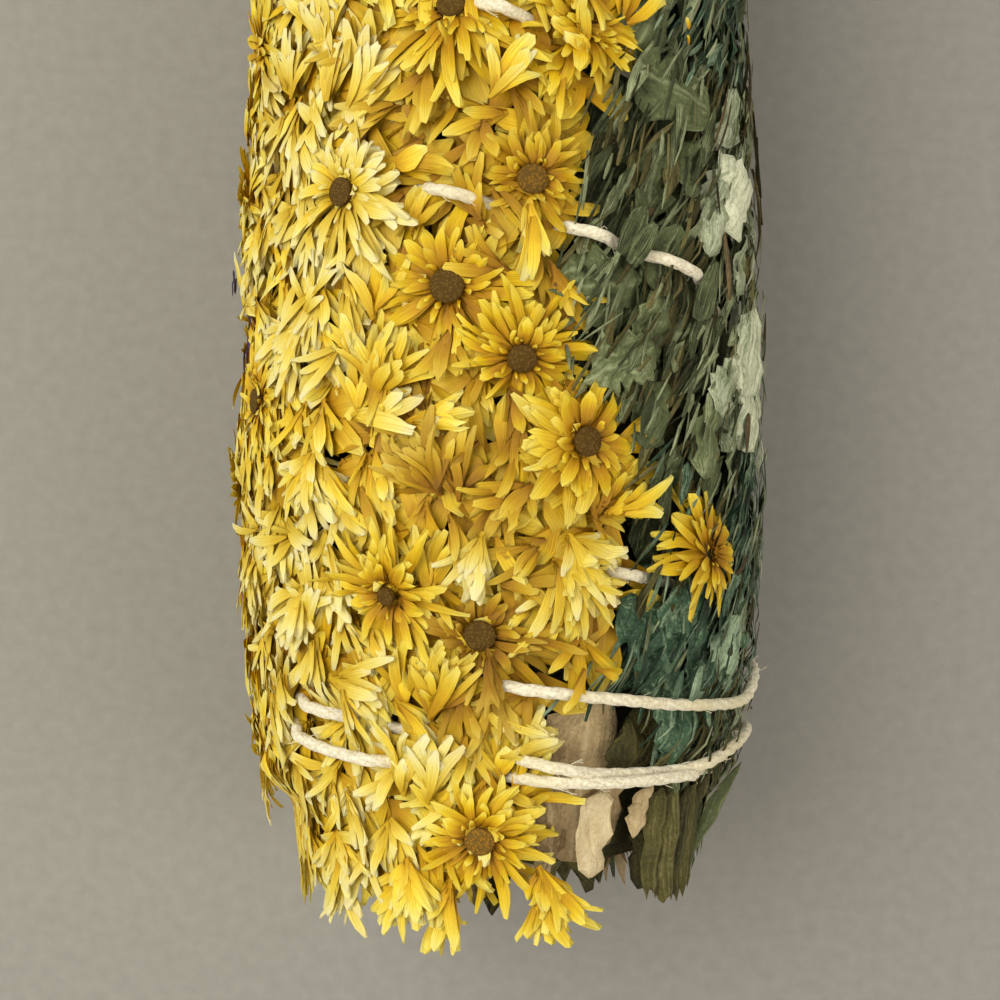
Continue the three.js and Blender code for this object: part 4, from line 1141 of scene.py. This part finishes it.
# colour and broad leaves of each node
leafPieces = {
    "grey_leaves_1": ("grey", [
        leaf(41, 2.7, 6.2, 4.1, 163, 0.33, height=3.7, crumple=0.8, ragged=0.75, taper=0.3, blunt=0.4),
        leaf(33, 6.5, 5.0, 3.4, 60, 0.35), leaf(34, -3.2, 5.0, 3.2, 75, 0.3), leaf(46, -2, 4.2, 2.8, 70, 0.4)]),
    "grey_leaves_2": ("grey", [
        leaf(20.8, -10.1, 6.2, 4.4, 185, 0.4, height=3.3, crumple=0.9, ragged=0.7),
        leaf(25.4, -14.8, 4.8, 3.6, 205, 0.54, height=3.3, crumple=0.9, ragged=0.8, blunt=0.4),
        leaf(33, -12.4, 5.0, 3.0, 65, 0.4), leaf(36, -8, 4.4, 2.8, 72, 0.35)]),
    "grey_leaves_3": ("grey", [
        leaf(47, -19.6, 5.0, 3.2, 70, 0.46, height=3.6, crumple=0.8, ragged=0.6), leaf(36, -22, 4.2, 2.6, 60, 0.3),
        leaf(33, -18, 4.6, 2.6, 66, 0.3), leaf(52, -23, 4.4, 2.8, 72, 0.36)]),
    "grey_leaves_4": ("grey", [
        leaf(44, 34, 6.5, 4.4, 80, 0.5), leaf(60, 38, 6.5, 4.4, 100, 0.4), leaf(50, 43, 6.0, 4.0, 70, 0.45),
        leaf(70, 33, 6.0, 4.0, 60, 0.5), leaf(72, 43, 6.5, 4.2, 85, 0.4)]),
    "mint_leaves_1": ("mint", [
        leaf(60, 2.0, 4.4, 2.6, 70, 0.5, height=3.8, crumple=0.8),
        leaf(56, -3.4, 5.6, 4.4, 55, 0.8, height=4.1, fold=0.3, crumple=0.8, ragged=0.3, roll=-28, top=5.6,
             blunt=0.6, taper=0.2),
        leaf(51, -5.0, 5.6, 2.4, 66, 0.66, height=3.9, crumple=0.9, ragged=0.4, top=5.2),
        leaf(63, -7.6, 5.0, 2.2, 62, 0.5, height=3.7, crumple=0.8), leaf(78, -3, 5.4, 3.6, 95, 0.5),
        leaf(84, 3, 5.0, 3.4, 80, 0.45)]),
    "mint_leaves_2": ("mint", [
        leaf(63, -13.4, 6.4, 4.2, 76, 0.78, height=4.2, crumple=0.8, ragged=0.5, roll=-20, top=5.6),
        leaf(54, -15.8, 5.0, 2.8, 56, 0.66, height=3.6, ragged=0.6),
        leaf(64, -17.6, 5.4, 3.4, 68, 0.7, height=4.0, roll=-15, ragged=0.6, top=5.4),
        leaf(56, -18.4, 3.8, 2.6, 110, 0.5), leaf(76, -14, 5.2, 3.6, 90, 0.6)]),
    "teal_leaves_1": ("teal", [
        leaf(70, -24, 6.0, 4.0, 80, 0.3), leaf(84, -28, 6.5, 4.4, 95, 0.35), leaf(72, -31, 5.6, 3.8, 70, 0.4),
        leaf(96, -31, 6.0, 4.2, 85, 0.35), leaf(92, -23, 5.4, 3.8, 75, 0.4)]),
    "teal_leaves_2": ("teal", [
        leaf(33, -31.2, 5.2, 4.0, 150, 0.42, height=2.9), leaf(43, -30.4, 5.4, 4.2, 40, 0.5, height=3.1),
        leaf(39, -34.2, 5.6, 4.4, 110, 0.45, height=3.0), leaf(50, -33.6, 5.0, 4.0, 80, 0.4, height=2.9),
        leaf(61, -33.4, 5.2, 4.0, 60, 0.8, height=3.4, crumple=0.5),
        leaf(45, -38.6, 4.8, 4.2, 95, 0.36, height=3.4), leaf(40, -37.6, 3.6, 2.6, 80, 0.5, height=3.3)]),
    "teal_leaves_3": ("teal", [
        leaf(48, 13, 6.5, 4.4, 80, 0.3), leaf(60, 18, 6.5, 4.6, 100, 0.35), leaf(50, 24, 6.0, 4.2, 70, 0.4),
        leaf(72, 13, 6.0, 4.0, 60, 0.35), leaf(74, 24, 6.5, 4.4, 85, 0.3), leaf(69.9, 8.8, 4.6, 3.0, 80, 0.2)]),
    "folded_base_leaf": ("olive", [
        foldedLeaf(42, -45.6, 7.0, 1.5, 268, 0.4, 2.5), foldedLeaf(46, -45.9, 7.4, 1.9, 271, 0.5, 3.1),
        foldedLeaf(50.5, -46.0, 7.2, 1.2, 267, 0.28, 2.9), foldedLeaf(54, -45.8, 7.2, 1.9, 270, 0.48, 3.0),
        foldedLeaf(59, -45.9, 7.0, 1.3, 266, 0.36, 2.8), foldedLeaf(63.5, -45.4, 6.8, 1.7, 268, 0.42, 2.4),
        foldedLeaf(48, -45.6, 7.2, 3.4, 272, 0.2, 1.7), foldedLeaf(58, -45.6, 7.0, 3.4, 268, 0.22, 1.6),
        leaf(32.5, -39.2, 3.6, 3.6, 100, 0.3, height=2.2)]),
    "thin_base_leaf": ("grey", [
        leaf(70.5, -44.5, 7.4, 1.4, 53, 0.3, height=2.9, fold=0.8, over=True, tip=16, curl=0.1, roll=0, crumple=0.3),
        leaf(72, -45.6, 6.0, 1.2, 262, 0.25, height=1.4), leaf(88, -45.5, 6.2, 1.3, 268, 0.3, height=1.2)]),
    "pale_base_leaf": ("pale", [
        leaf(21, -41.2, 11.2, 5.6, 88, 0.42, height=0.9, ragged=0.12, taper=0.3, crumple=0.4, grid=(10, 16)),
        leaf(24.5, -44.8, 5.6, 2.5, 84, 0.78, height=1.5, taper=0.2, ragged=0.2),
        leaf(13, -42.5, 8.0, 3.6, 95, 0.22, height=0.6, taper=0.3),
        leaf(30, -42.5, 8.0, 3.2, 80, 0.3, height=0.6, taper=0.3),
        leaf(38, -43.6, 3.6, 1.7, 68, 0.5, height=1.9, fold=0.8),
        leaf(15.5, -38.4, 4.6, 3.0, 60, 0.3, height=1.4, curl=0.3)]),
}
# leaves on the hidden right side, and along the underside
oliveForm = {"spots": [(113, -39), (116, -14), (104, 11), (100, 36)], "count": 6, "aside": 16, "ahead": 6,
             "length": (5, 7), "width": (3, 4.4), "bearing": (40, 130), "height": (1.0, 2.2), "tint": (0.25, 0.6)}
underForm = {"spots": [(170, -26.8), (-170, -15), (170, 0.5), (-170, 16.6), (171, 31.8)], "count": 9, "aside": 24,
             "ahead": 5.2, "length": (5.5, 8), "width": (3, 4.6), "bearing": (30, 150), "height": (0.6, 2.6),
             "tint": (0.25, 0.6)}


def finishLeaves(bm, name, colour, node):
    finishPiece(bm, name, leafFinish[colour], [node], leafForm["thickness"])


def makeLeafPieces():
    for node, (colour, leaves) in leafPieces.items():
        rng = random.Random(node)
        bm = newPiece()
        for spec in leaves:
            addLeaf(bm, spec, rng)
        finishLeaves(bm, node.replace("_", ""), colour, node)
    print("broad leaves made")


def makeHiddenLeaves():
    rng = random.Random("olive_leaves")
    bm = newPiece()
    for angle, along in oliveForm["spots"]:
        addLeavesRound(bm, angle, along, oliveForm, rng)
    finishLeaves(bm, "oliveleaves", "olive", "olive_leaves")
    for number, (angle, along) in enumerate(underForm["spots"]):
        rng = random.Random(f"under {number}")
        bm = newPiece()
        addLeavesRound(bm, angle, along, underForm, rng)
        finishLeaves(bm, f"underLeaves{number + 1}", "olive", f"under_leaves_{number + 1}")
    print("hidden leaves made")


# slivers are fine shreds of leaf, slanted to the right of the stick's length; "bare" is where none lie at the butt
# end, as (angle from, angle to, below along)
sliverForm = {"along": (-47.5, 47.5), "angles": (10, 216), "spacing": 1.1, "length": (1.4, 4.0),
              "width": (0.12, 0.38), "bearing": 62, "spread": 13, "lowShare": 0.55, "low": (2.6, 3.4),
              "high": (3.3, 4.3), "top": 4.7, "sideTop": 5.1, "margin": -1.5,
              "bare": [(0, 34, -36), (30, 76, -41.2)], "thickness": 0.07, "curl": (-0.5, 0.3), "twist": (-0.9, 0.9),
              "cup": (-0.3, 0.5), "tip": (-6, 12), "tint": (0.55, 0.28), "tintLimits": (0.05, 0.98)}
# the share of each colour from each place along, for angles up to "sideFrom" and beyond; past "oliveFrom" and
# underneath it is "hidden"
sliverSides = {"sideFrom": 58, "sideBlend": 5, "oliveFrom": 112, "blend": 1.5, "hidden": {"olive": 6, "grey": 4},
               "sideTopFrom": 62}
sliverMixes = [
    (-60, {"olive": 6, "grey": 2}, {"olive": 5, "grey": 3}),
    (-42, {"olive": 4, "grey": 2, "teal": 2}, {"olive": 5, "grey": 2, "teal": 2}),
    (-37, {"teal": 8, "grey": 1}, {"teal": 6, "olive": 3, "mint": 1}),
    (-29, {"grey": 4, "olive": 5, "teal": 1}, {"teal": 6, "grey": 3, "mint": 1}),
    (-19, {"grey": 7, "olive": 3}, {"teal": 3, "mint": 3, "grey": 4, "olive": 1}),
    (-12, {"grey": 7, "olive": 3}, {"grey": 5, "mint": 2, "olive": 3}),
    (-2, {"grey": 6, "olive": 4}, {"grey": 5, "mint": 2, "olive": 3}),
    (5, {"teal": 5, "grey": 5}, {"teal": 5, "grey": 4, "olive": 1}),
    (28, {"grey": 6, "olive": 3, "mint": 2}, {"grey": 5, "olive": 4, "mint": 1}),
    (40, {"grey": 5, "teal": 2, "olive": 3}, {"grey": 5, "teal": 2, "olive": 3}),
]


def sliverColour(angle, along, rng):
    near, far = sliverMixes[0][1:]
    for start, nearShares, farShares in sliverMixes:
        if along + rng.uniform(-sliverSides["blend"], sliverSides["blend"]) >= start:
            near, far = nearShares, farShares
    edge = sliverSides["sideFrom"] + rng.uniform(-sliverSides["sideBlend"], sliverSides["sideBlend"])
    shares = near if angle < edge else far
    if angle < 0 or angle > sliverSides["oliveFrom"]:
        shares = sliverSides["hidden"]
    return rng.choices(list(shares), weights=list(shares.values()))[0]


def isClear(form, angle, along):
    # whether shreds keep off a place, because blooms or the bare leaves of the butt end lie there
    return isYellow(angle, along, form["margin"]) or any(
        low < angle < high and along < below for low, high, below in form["bare"])


def finishColours(meshes, ending, finishes, thickness):
    # one piece of each colour
    for name, bm in meshes.items():
        finishPiece(bm, name + ending, finishes[name], (), thickness)


def addSliver(bm, angle, along, length, width, bearing, height, tint, rng, top, grid=(2, 3), over=False, roll=0):
    curl, twist, cup = (rng.uniform(*sliverForm[key]) for key in ("curl", "twist", "cup"))

    def shape(side, part):
        half = width / 2 * (0.35 + 0.65 * math.sin(math.pi * min(1, 0.15 + part * 0.82)))
        turned = twist * (part - 0.5)
        rise = side * half * math.sin(turned) + cup * half * side * side + length * curl * (part - 0.5) ** 2
        return Vector((side * half * math.cos(turned), length * (part - 0.5), rise))
    put = leafPlace(angle, along, height, bearing, rng.uniform(*sliverForm["tip"]), roll, top, over)
    addBlade(bm, *grid, shape, put, tint)


def makeSlivers():
    rng = random.Random("slivers")
    meshes = {name: newPiece() for name in ("grey", "teal", "olive", "mint")}
    for angle, along in scatter(sliverForm["spacing"], *sliverForm["along"], rng, *sliverForm["angles"]):
        if isClear(sliverForm, angle, along):
            continue
        colour = sliverColour(angle, along, rng)
        level = "low" if rng.random() < sliverForm["lowShare"] else "high"
        addSliver(meshes[colour], angle, along, rng.uniform(*sliverForm["length"]), rng.uniform(*sliverForm["width"]),
                  sliverForm["bearing"] + rng.gauss(0, sliverForm["spread"]) + rng.choice([0, 180]),
                  rng.uniform(*sliverForm[level]),
                  clamp(rng.gauss(*sliverForm["tint"]), *sliverForm["tintLimits"]), rng,
                  sliverForm["sideTop" if angle > sliverSides["sideTopFrom"] else "top"])
    finishColours(meshes, "Slivers", shredFinish, sliverForm["thickness"])
    print("slivers made")


# striped shreds of leaf lie under the slivers, in two layers
matForm = {
    "along": (-46, 46.5),
    "angles": (14, 216),
    "bearing": 62,
    "spread": 12,
    "top": 4.5,
    "sideTop": 5.0,
    "margin": -3,
    "bare": [(0, 38, -34), (30, 76, -41.8)],
    "leaf": {"crumple": 0.7, "ragged": 0.5, "taper": 0.35},
    "lower": {"spacing": 2.9, "grid": (3, 5), "length": (4.0, 7.0), "width": (2.2, 3.8), "height": (0.8, 2.0),
              "tint": (0.1, 0.4)},
    "upper": {"spacing": 1.85, "grid": (2, 4), "length": (2.4, 4.8), "width": (0.4, 1.15), "height": (2.2, 3.8),
              "tint": (0.1, 0.8)},
}


def makeMat(layer):
    form = matForm[layer]
    rng = random.Random(layer)
    meshes = {name: newPiece() for name in ("grey", "olive", "teal", "mint")}
    for angle, along in scatter(form["spacing"], *matForm["along"], rng, *matForm["angles"]):
        if isClear(matForm, angle, along):
            continue
        colour = sliverColour(angle, along, rng)
        shred = leaf(angle, along, rng.uniform(*form["length"]), rng.uniform(*form["width"]),
                     matForm["bearing"] + rng.gauss(0, matForm["spread"]) + rng.choice([0, 180]),
                     height=rng.uniform(*form["height"]), tint=rng.uniform(*form["tint"]), grid=form["grid"],
                     top=matForm["sideTop" if angle > sliverSides["sideTopFrom"] else "top"], **matForm["leaf"])
        addLeaf(meshes[colour], shred, rng)
    finishColours(meshes, f"Shreds{layer.capitalize()}", shredFinish, leafForm["thickness"])
    print(layer, "shreds made")


# single shreds that cross over the string, straws and slivers of stem, as (colour, angle, along, length, width,
# bearing); the ones on the side are rolled on edge
looseShreds = [
    ("straw", 53.5, 1.9, 4.6, 0.3, 62), ("straw", 54.8, 1.2, 4.0, 0.22, 66), ("straw", 53, -8.2, 4.4, 0.7, 100),
    ("straw", 61, -19.0, 2.8, 0.9, 75), ("straw", 30, -5.4, 0.9, 0.5, 30), ("straw", 70, 3.5, 7.0, 0.9, 82),
    ("olive", 74, -1.5, 6.0, 0.9, 96), ("straw", 73, -4, 6.4, 0.8, 86), ("olive", 70, 6.0, 5.0, 0.8, 76),
    ("straw", 77, 0.5, 6.0, 0.7, 92), ("straw", 82, -12, 3.4, 0.5, 100), ("straw", 60, -27.6, 2.2, 0.6, 40),
    ("grey", 26.5, -6.6, 3.6, 1.7, 62), ("grey", 28.5, -7.4, 3.2, 1.4, 57), ("olive", 35, -9.0, 2.0, 0.25, 60),
    ("grey", 46, -10.0, 4.4, 2.0, 66), ("olive", 31.5, -28.2, 2.6, 0.5, 60), ("teal", 44, -35.4, 2.8, 0.9, 70),
    ("teal", 39, -35.2, 2.0, 0.7, 75), ("olive", 58, -39.9, 3.2, 0.5, 70), ("olive", 52, -41.0, 2.6, 0.4, 100),
    ("grey", 66, -39.4, 3.0, 0.4, 60), ("straw", 75, -37.2, 3.0, 0.3, 20), ("straw", 80, -37.9, 2.6, 0.25, -10),
]
looseForm = {"height": 4.35, "top": 5.0, "grid": (2, 6), "rolledFrom": 69, "roll": 50}


def makeLooseShreds():
    rng = random.Random("loose")
    meshes = {name: newPiece() for name in ("straw", "olive", "grey", "teal")}
    for colour, angle, along, length, width, bearing in looseShreds:
        addSliver(meshes[colour], angle, along, length, width, bearing, looseForm["height"], rng.uniform(0.2, 0.7),
                  rng, looseForm["top"], looseForm["grid"], True,
                  looseForm["roll"] if angle > looseForm["rolledFrom"] else 0)
    finishColours(meshes, "Loose", shredFinish, sliverForm["thickness"])
    print("loose shreds made")


makeLeafPieces()
makeHiddenLeaves()
makeSlivers()
makeMat("lower")
makeMat("upper")
makeLooseShreds()

# Sage stems and their leaves
sageForm = {"longest": 1.6, "smooth": 0.35, "crumple": 0.55, "grain": 0.64, "core": 6, "inward": -0.35}


def copyNode(name):
    # the solid's own mesh, merged, in mm
    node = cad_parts[name]
    bm = bmesh.new()
    bm.loops.layers.uv.new("UVMap")
    bm.from_mesh(node.data)
    bmesh.ops.transform(bm, matrix=Matrix.Scale(1 / mm, 4) @ node.matrix_world, verts=bm.verts)
    bmesh.ops.remove_doubles(bm, verts=bm.verts, dist=0.002)
    bm.verts.layers.float.new("tint")
    bm.verts.layers.float.new("age")
    return bm


def makeSage():
    for number in range(6):
        node = f"sage_stem_{number}" if number else "sage_stem_middle"
        bm = copyNode(node)
        bmesh.ops.triangulate(bm, faces=bm.faces)
        longEdges = [edge for edge in bm.edges if edge.calc_length() > sageForm["longest"]]
        bmesh.ops.subdivide_edges(bm, edges=longEdges, cuts=1)
        bmesh.ops.triangulate(bm, faces=bm.faces)
        bmesh.ops.smooth_vert(bm, verts=bm.verts, factor=sageForm["smooth"], use_axis_x=True, use_axis_y=True,
                              use_axis_z=True)
        bm.normal_update()
        tintLayer = bm.verts.layers.float["tint"]
        for vert in bm.verts:
            grain = noise.noise(vert.co * sageForm["grain"] + Vector((number * 7, 0, 0)))
            fromAxis = math.hypot(vert.co.x, vert.co.z - bundle["axisHeight"])
            inward = 0.0 if fromAxis < sageForm["core"] else sageForm["inward"]
            vert.co += vert.normal * (sageForm["crumple"] * grain + inward)
            vert[tintLayer] = clamp(0.3 + 0.3 * grain, 0, 1)
        finishPiece(bm, f"sageStem{number}", leafFinish["olive"], [node], 0.0, 60)
    print("sage stems made")


# leaf ends stand out round the woody stems at both ends
endForm = {"count": 110, "radius": 12.4, "shares": {"pale": 4, "olive": 3, "grey": 3}, "length": (4, 7.5),
           "width": (1.6, 3.4), "reach": (0.4, 3.2), "tilt": 0.25, "turn": 0.9, "fold": (-0.3, 0.5), "past": 0.4,
           "grid": (4, 6)}


def endPlace(radius, turn, facing, tilt, alongEnd, end, inset):
    # from a leaf's own space to the end of the stick, kept within the sage
    centre = Vector((radius * math.sin(turn), alongEnd + end * inset, bundle["axisHeight"] + radius * math.cos(turn)))
    sideway = Vector((math.cos(facing), 0, -math.sin(facing)))
    outward = Vector((math.sin(facing), 0, math.cos(facing)))

    def put(point):
        spot = centre + sideway * point.x + Vector((0, end * point.y, 0)) + outward * (point.z + tilt * point.y)
        fromAxis = Vector((spot.x, 0, spot.z - bundle["axisHeight"]))
        limit = sageRadius(spot.y) + endForm["past"]
        if fromAxis.length > limit:
            fromAxis = fromAxis.normalized() * limit
        return Vector((fromAxis.x, spot.y, fromAxis.z + bundle["axisHeight"]))
    return put


def makeEndLeaves():
    rng = random.Random("end leaves")
    shares = endForm["shares"]
    meshes = {name: newPiece() for name in shares}
    for end, alongEnd in ((-1, bundle["buttEnd"]), (1, bundle["tipEnd"])):
        for index in range(endForm["count"]):
            turn = rng.uniform(0, 2 * math.pi)
            radius = endForm["radius"] * math.sqrt(rng.uniform(0.01, 1))
            colour = rng.choices(list(shares), weights=list(shares.values()))[0]
            length = rng.uniform(*endForm["length"])
            width = rng.uniform(*endForm["width"])
            inset = rng.uniform(*endForm["reach"]) - length / 2
            tilt = rng.uniform(-endForm["tilt"], endForm["tilt"])
            facing = turn + rng.uniform(-endForm["turn"], endForm["turn"])
            shape = leafShape(length, width, rng, crumple=0.5, fold=rng.uniform(*endForm["fold"]), ragged=0.25,
                              taper=0.4)
            put = endPlace(radius, turn, facing, tilt, alongEnd, end, inset)
            addBlade(meshes[colour], *endForm["grid"], shape, put, clamp(rng.gauss(0.5, 0.2), 0, 1))
    finishColours(meshes, "EndLeaves", leafFinish, leafForm["thickness"])
    print("end leaves made")


makeSage()
makeEndLeaves()

# Violet sprig at the left edge
violetForm = {"spot": (-86, -11), "count": 16, "aside": 7, "ahead": 3.2, "length": (1.6, 2.8), "width": (0.5, 0.9),
              "bearing": (50, 130), "height": (2.2, 3.9), "tint": (0.2, 0.8),
              "more": {"grid": (2, 5), "top": 4.1, "crumple": 0.2}, "thickness": 0.09}
# the petals of it that show from above
shownViolet = [(-79, -8.0), (-84, -8.5), (-88, -8.2)]


def makeViolet():
    rng = random.Random("violet")
    bm = newPiece()
    addLeavesRound(bm, *violetForm["spot"], violetForm, rng)
    for angle, along in shownViolet:
        addLeaf(bm, leaf(angle, along, 1.4, 0.8, 120, 0.35, height=4.6, grid=(2, 5), top=5.2, crumple=0.2, over=True),
                rng)
    finishPiece(bm, "violetSprig", leafFinish["violet"], ["violet_sprig"], violetForm["thickness"])
    print("violet sprig made")


makeViolet()

# Cotton string: three plies twisted together, with knots and fuzz
twine = {"ply": 0.29, "offset": 0.125, "twist": 4.4, "step": 0.38, "plies": 3}
fuzzForm = {"radius": 0.022, "share": 420 / 3300, "out": 0.4, "halfway": 0.35, "ahead": (0.6, 1.1),
            "middle": (0.1, 0.3), "end": (0.15, 0.55), "lowest": 0.2}


def evenSpots(spots, step):
    # the same route with spots an even step apart
    walked = [0.0]
    for a, b in zip(spots, spots[1:]):
        walked.append(walked[-1] + (b - a).length)
    count = max(2, round(walked[-1] / step))
    evened, index = [], 0
    for number in range(count + 1):
        target = walked[-1] * number / count
        while index < len(walked) - 2 and walked[index + 1] < target:
            index += 1
        gap = walked[index + 1] - walked[index]
        evened.append(spots[index].lerp(spots[index + 1], (target - walked[index]) / gap if gap else 0))
    return evened


def tubesToMesh(name, routes, radius, sides=1):
    # round tubes along routes in mm, as a bmesh
    data = bpy.data.curves.new(name, "CURVE")
    data.dimensions = "3D"
    data.bevel_depth = radius
    data.bevel_resolution = sides
    data.use_fill_caps = True
    for points in routes:
        spline = data.splines.new("POLY")
        spline.points.add(len(points) - 1)
        for point, spot in zip(spline.points, points):
            point.co = (*spot, 1)
    holder = bpy.data.objects.new(name, data)
    bpy.context.scene.collection.objects.link(holder)
    mesh = bpy.data.meshes.new_from_object(holder.evaluated_get(bpy.context.evaluated_depsgraph_get()))
    bm = bmesh.new()
    bm.from_mesh(mesh)
    bpy.data.objects.remove(holder)
    bpy.data.curves.remove(data)
    bpy.data.meshes.remove(mesh)
    bm.verts.layers.float.new("tint")
    bm.verts.layers.float.new("age")
    return bm


def plyRoutes(points):
    # each ply winds round the string's own route
    routes = [[] for ply in range(twine["plies"])]
    side = None
    for index, point in enumerate(points):
        ahead = points[min(index + 1, len(points) - 1)] - points[max(index - 1, 0)]
        ahead.normalize()
        if side is None:
            side = ahead.orthogonal().normalized()
        side = (side - ahead * side.dot(ahead)).normalized()
        other = ahead.cross(side)
        for ply, route in enumerate(routes):
            turn = 2 * math.pi * (index * twine["step"] / twine["twist"] + ply / twine["plies"])
            route.append(point + (side * math.cos(turn) + other * math.sin(turn)) * twine["offset"])
    return routes


def finishCotton(name, routes, radius, sides=1, nodes=()):
    finishPiece(tubesToMesh(name, routes, radius, sides), name, cottonFinish, nodes, 0.0, 60)


def fuzzRoute(spots, rng):
    # one stray fibre that leaves the string
    at = rng.randrange(2, len(spots) - 3)
    ahead = (spots[at + 1] - spots[at]).normalized()
    out = Vector((rng.gauss(0, 1), rng.gauss(0, 1), rng.gauss(0, 1)))
    out = (out - ahead * out.dot(ahead)).normalized()
    start = spots[at] + out * fuzzForm["out"]
    middle = start + ahead * fuzzForm["halfway"] + out * rng.uniform(*fuzzForm["middle"])
    end = start + ahead * rng.uniform(*fuzzForm["ahead"]) + out * rng.uniform(*fuzzForm["end"])
    return [Vector((spot.x, spot.y, max(spot.z, fuzzForm["lowest"]))) for spot in (start, middle, end)]


def makeString():
    rng = random.Random("string")
    routes, fuzz = [], []
    for unrolled in stringSpots:
        spots = evenSpots([onRoute(spot) for spot in unrolled], twine["step"])
        routes += plyRoutes(spots)
        fuzz += [fuzzRoute(spots, rng) for index in range(round(fuzzForm["share"] * len(spots)))]
    finishCotton("cottonString", routes, twine["ply"], nodes=["cotton_string"])
    finishCotton("cottonFuzz", fuzz, fuzzForm["radius"], 0)
    print("string made")


# each knot as (angle, along, height)
knotForm = {"spots": [(-217, 43.5, 3.6), (180, -43.3, 0.95)], "radius": 0.62, "swing": 0.22, "lift": 0.42,
            "phase": 0.4, "points": 64}


def knotRoute(angle, along, height):
    # a small overhand knot, as loops round one spot
    points = []
    for step in range(knotForm["points"]):
        turn = 4 * math.pi * step / (knotForm["points"] - 1) + knotForm["phase"]
        swing = knotForm["radius"] + knotForm["swing"] * math.cos(1.5 * turn)
        points.append(onRoute(Vector((across(angle) + swing * math.cos(turn), along + swing * math.sin(turn),
                                      height + knotForm["lift"] * math.sin(1.5 * turn)))))
    return points


def makeKnots():
    routes = []
    for spot in knotForm["spots"]:
        routes += plyRoutes(evenSpots(knotRoute(*spot), twine["step"]))
    finishCotton("cottonKnots", routes, twine["ply"])
    print("knots made")


makeString()
makeKnots()
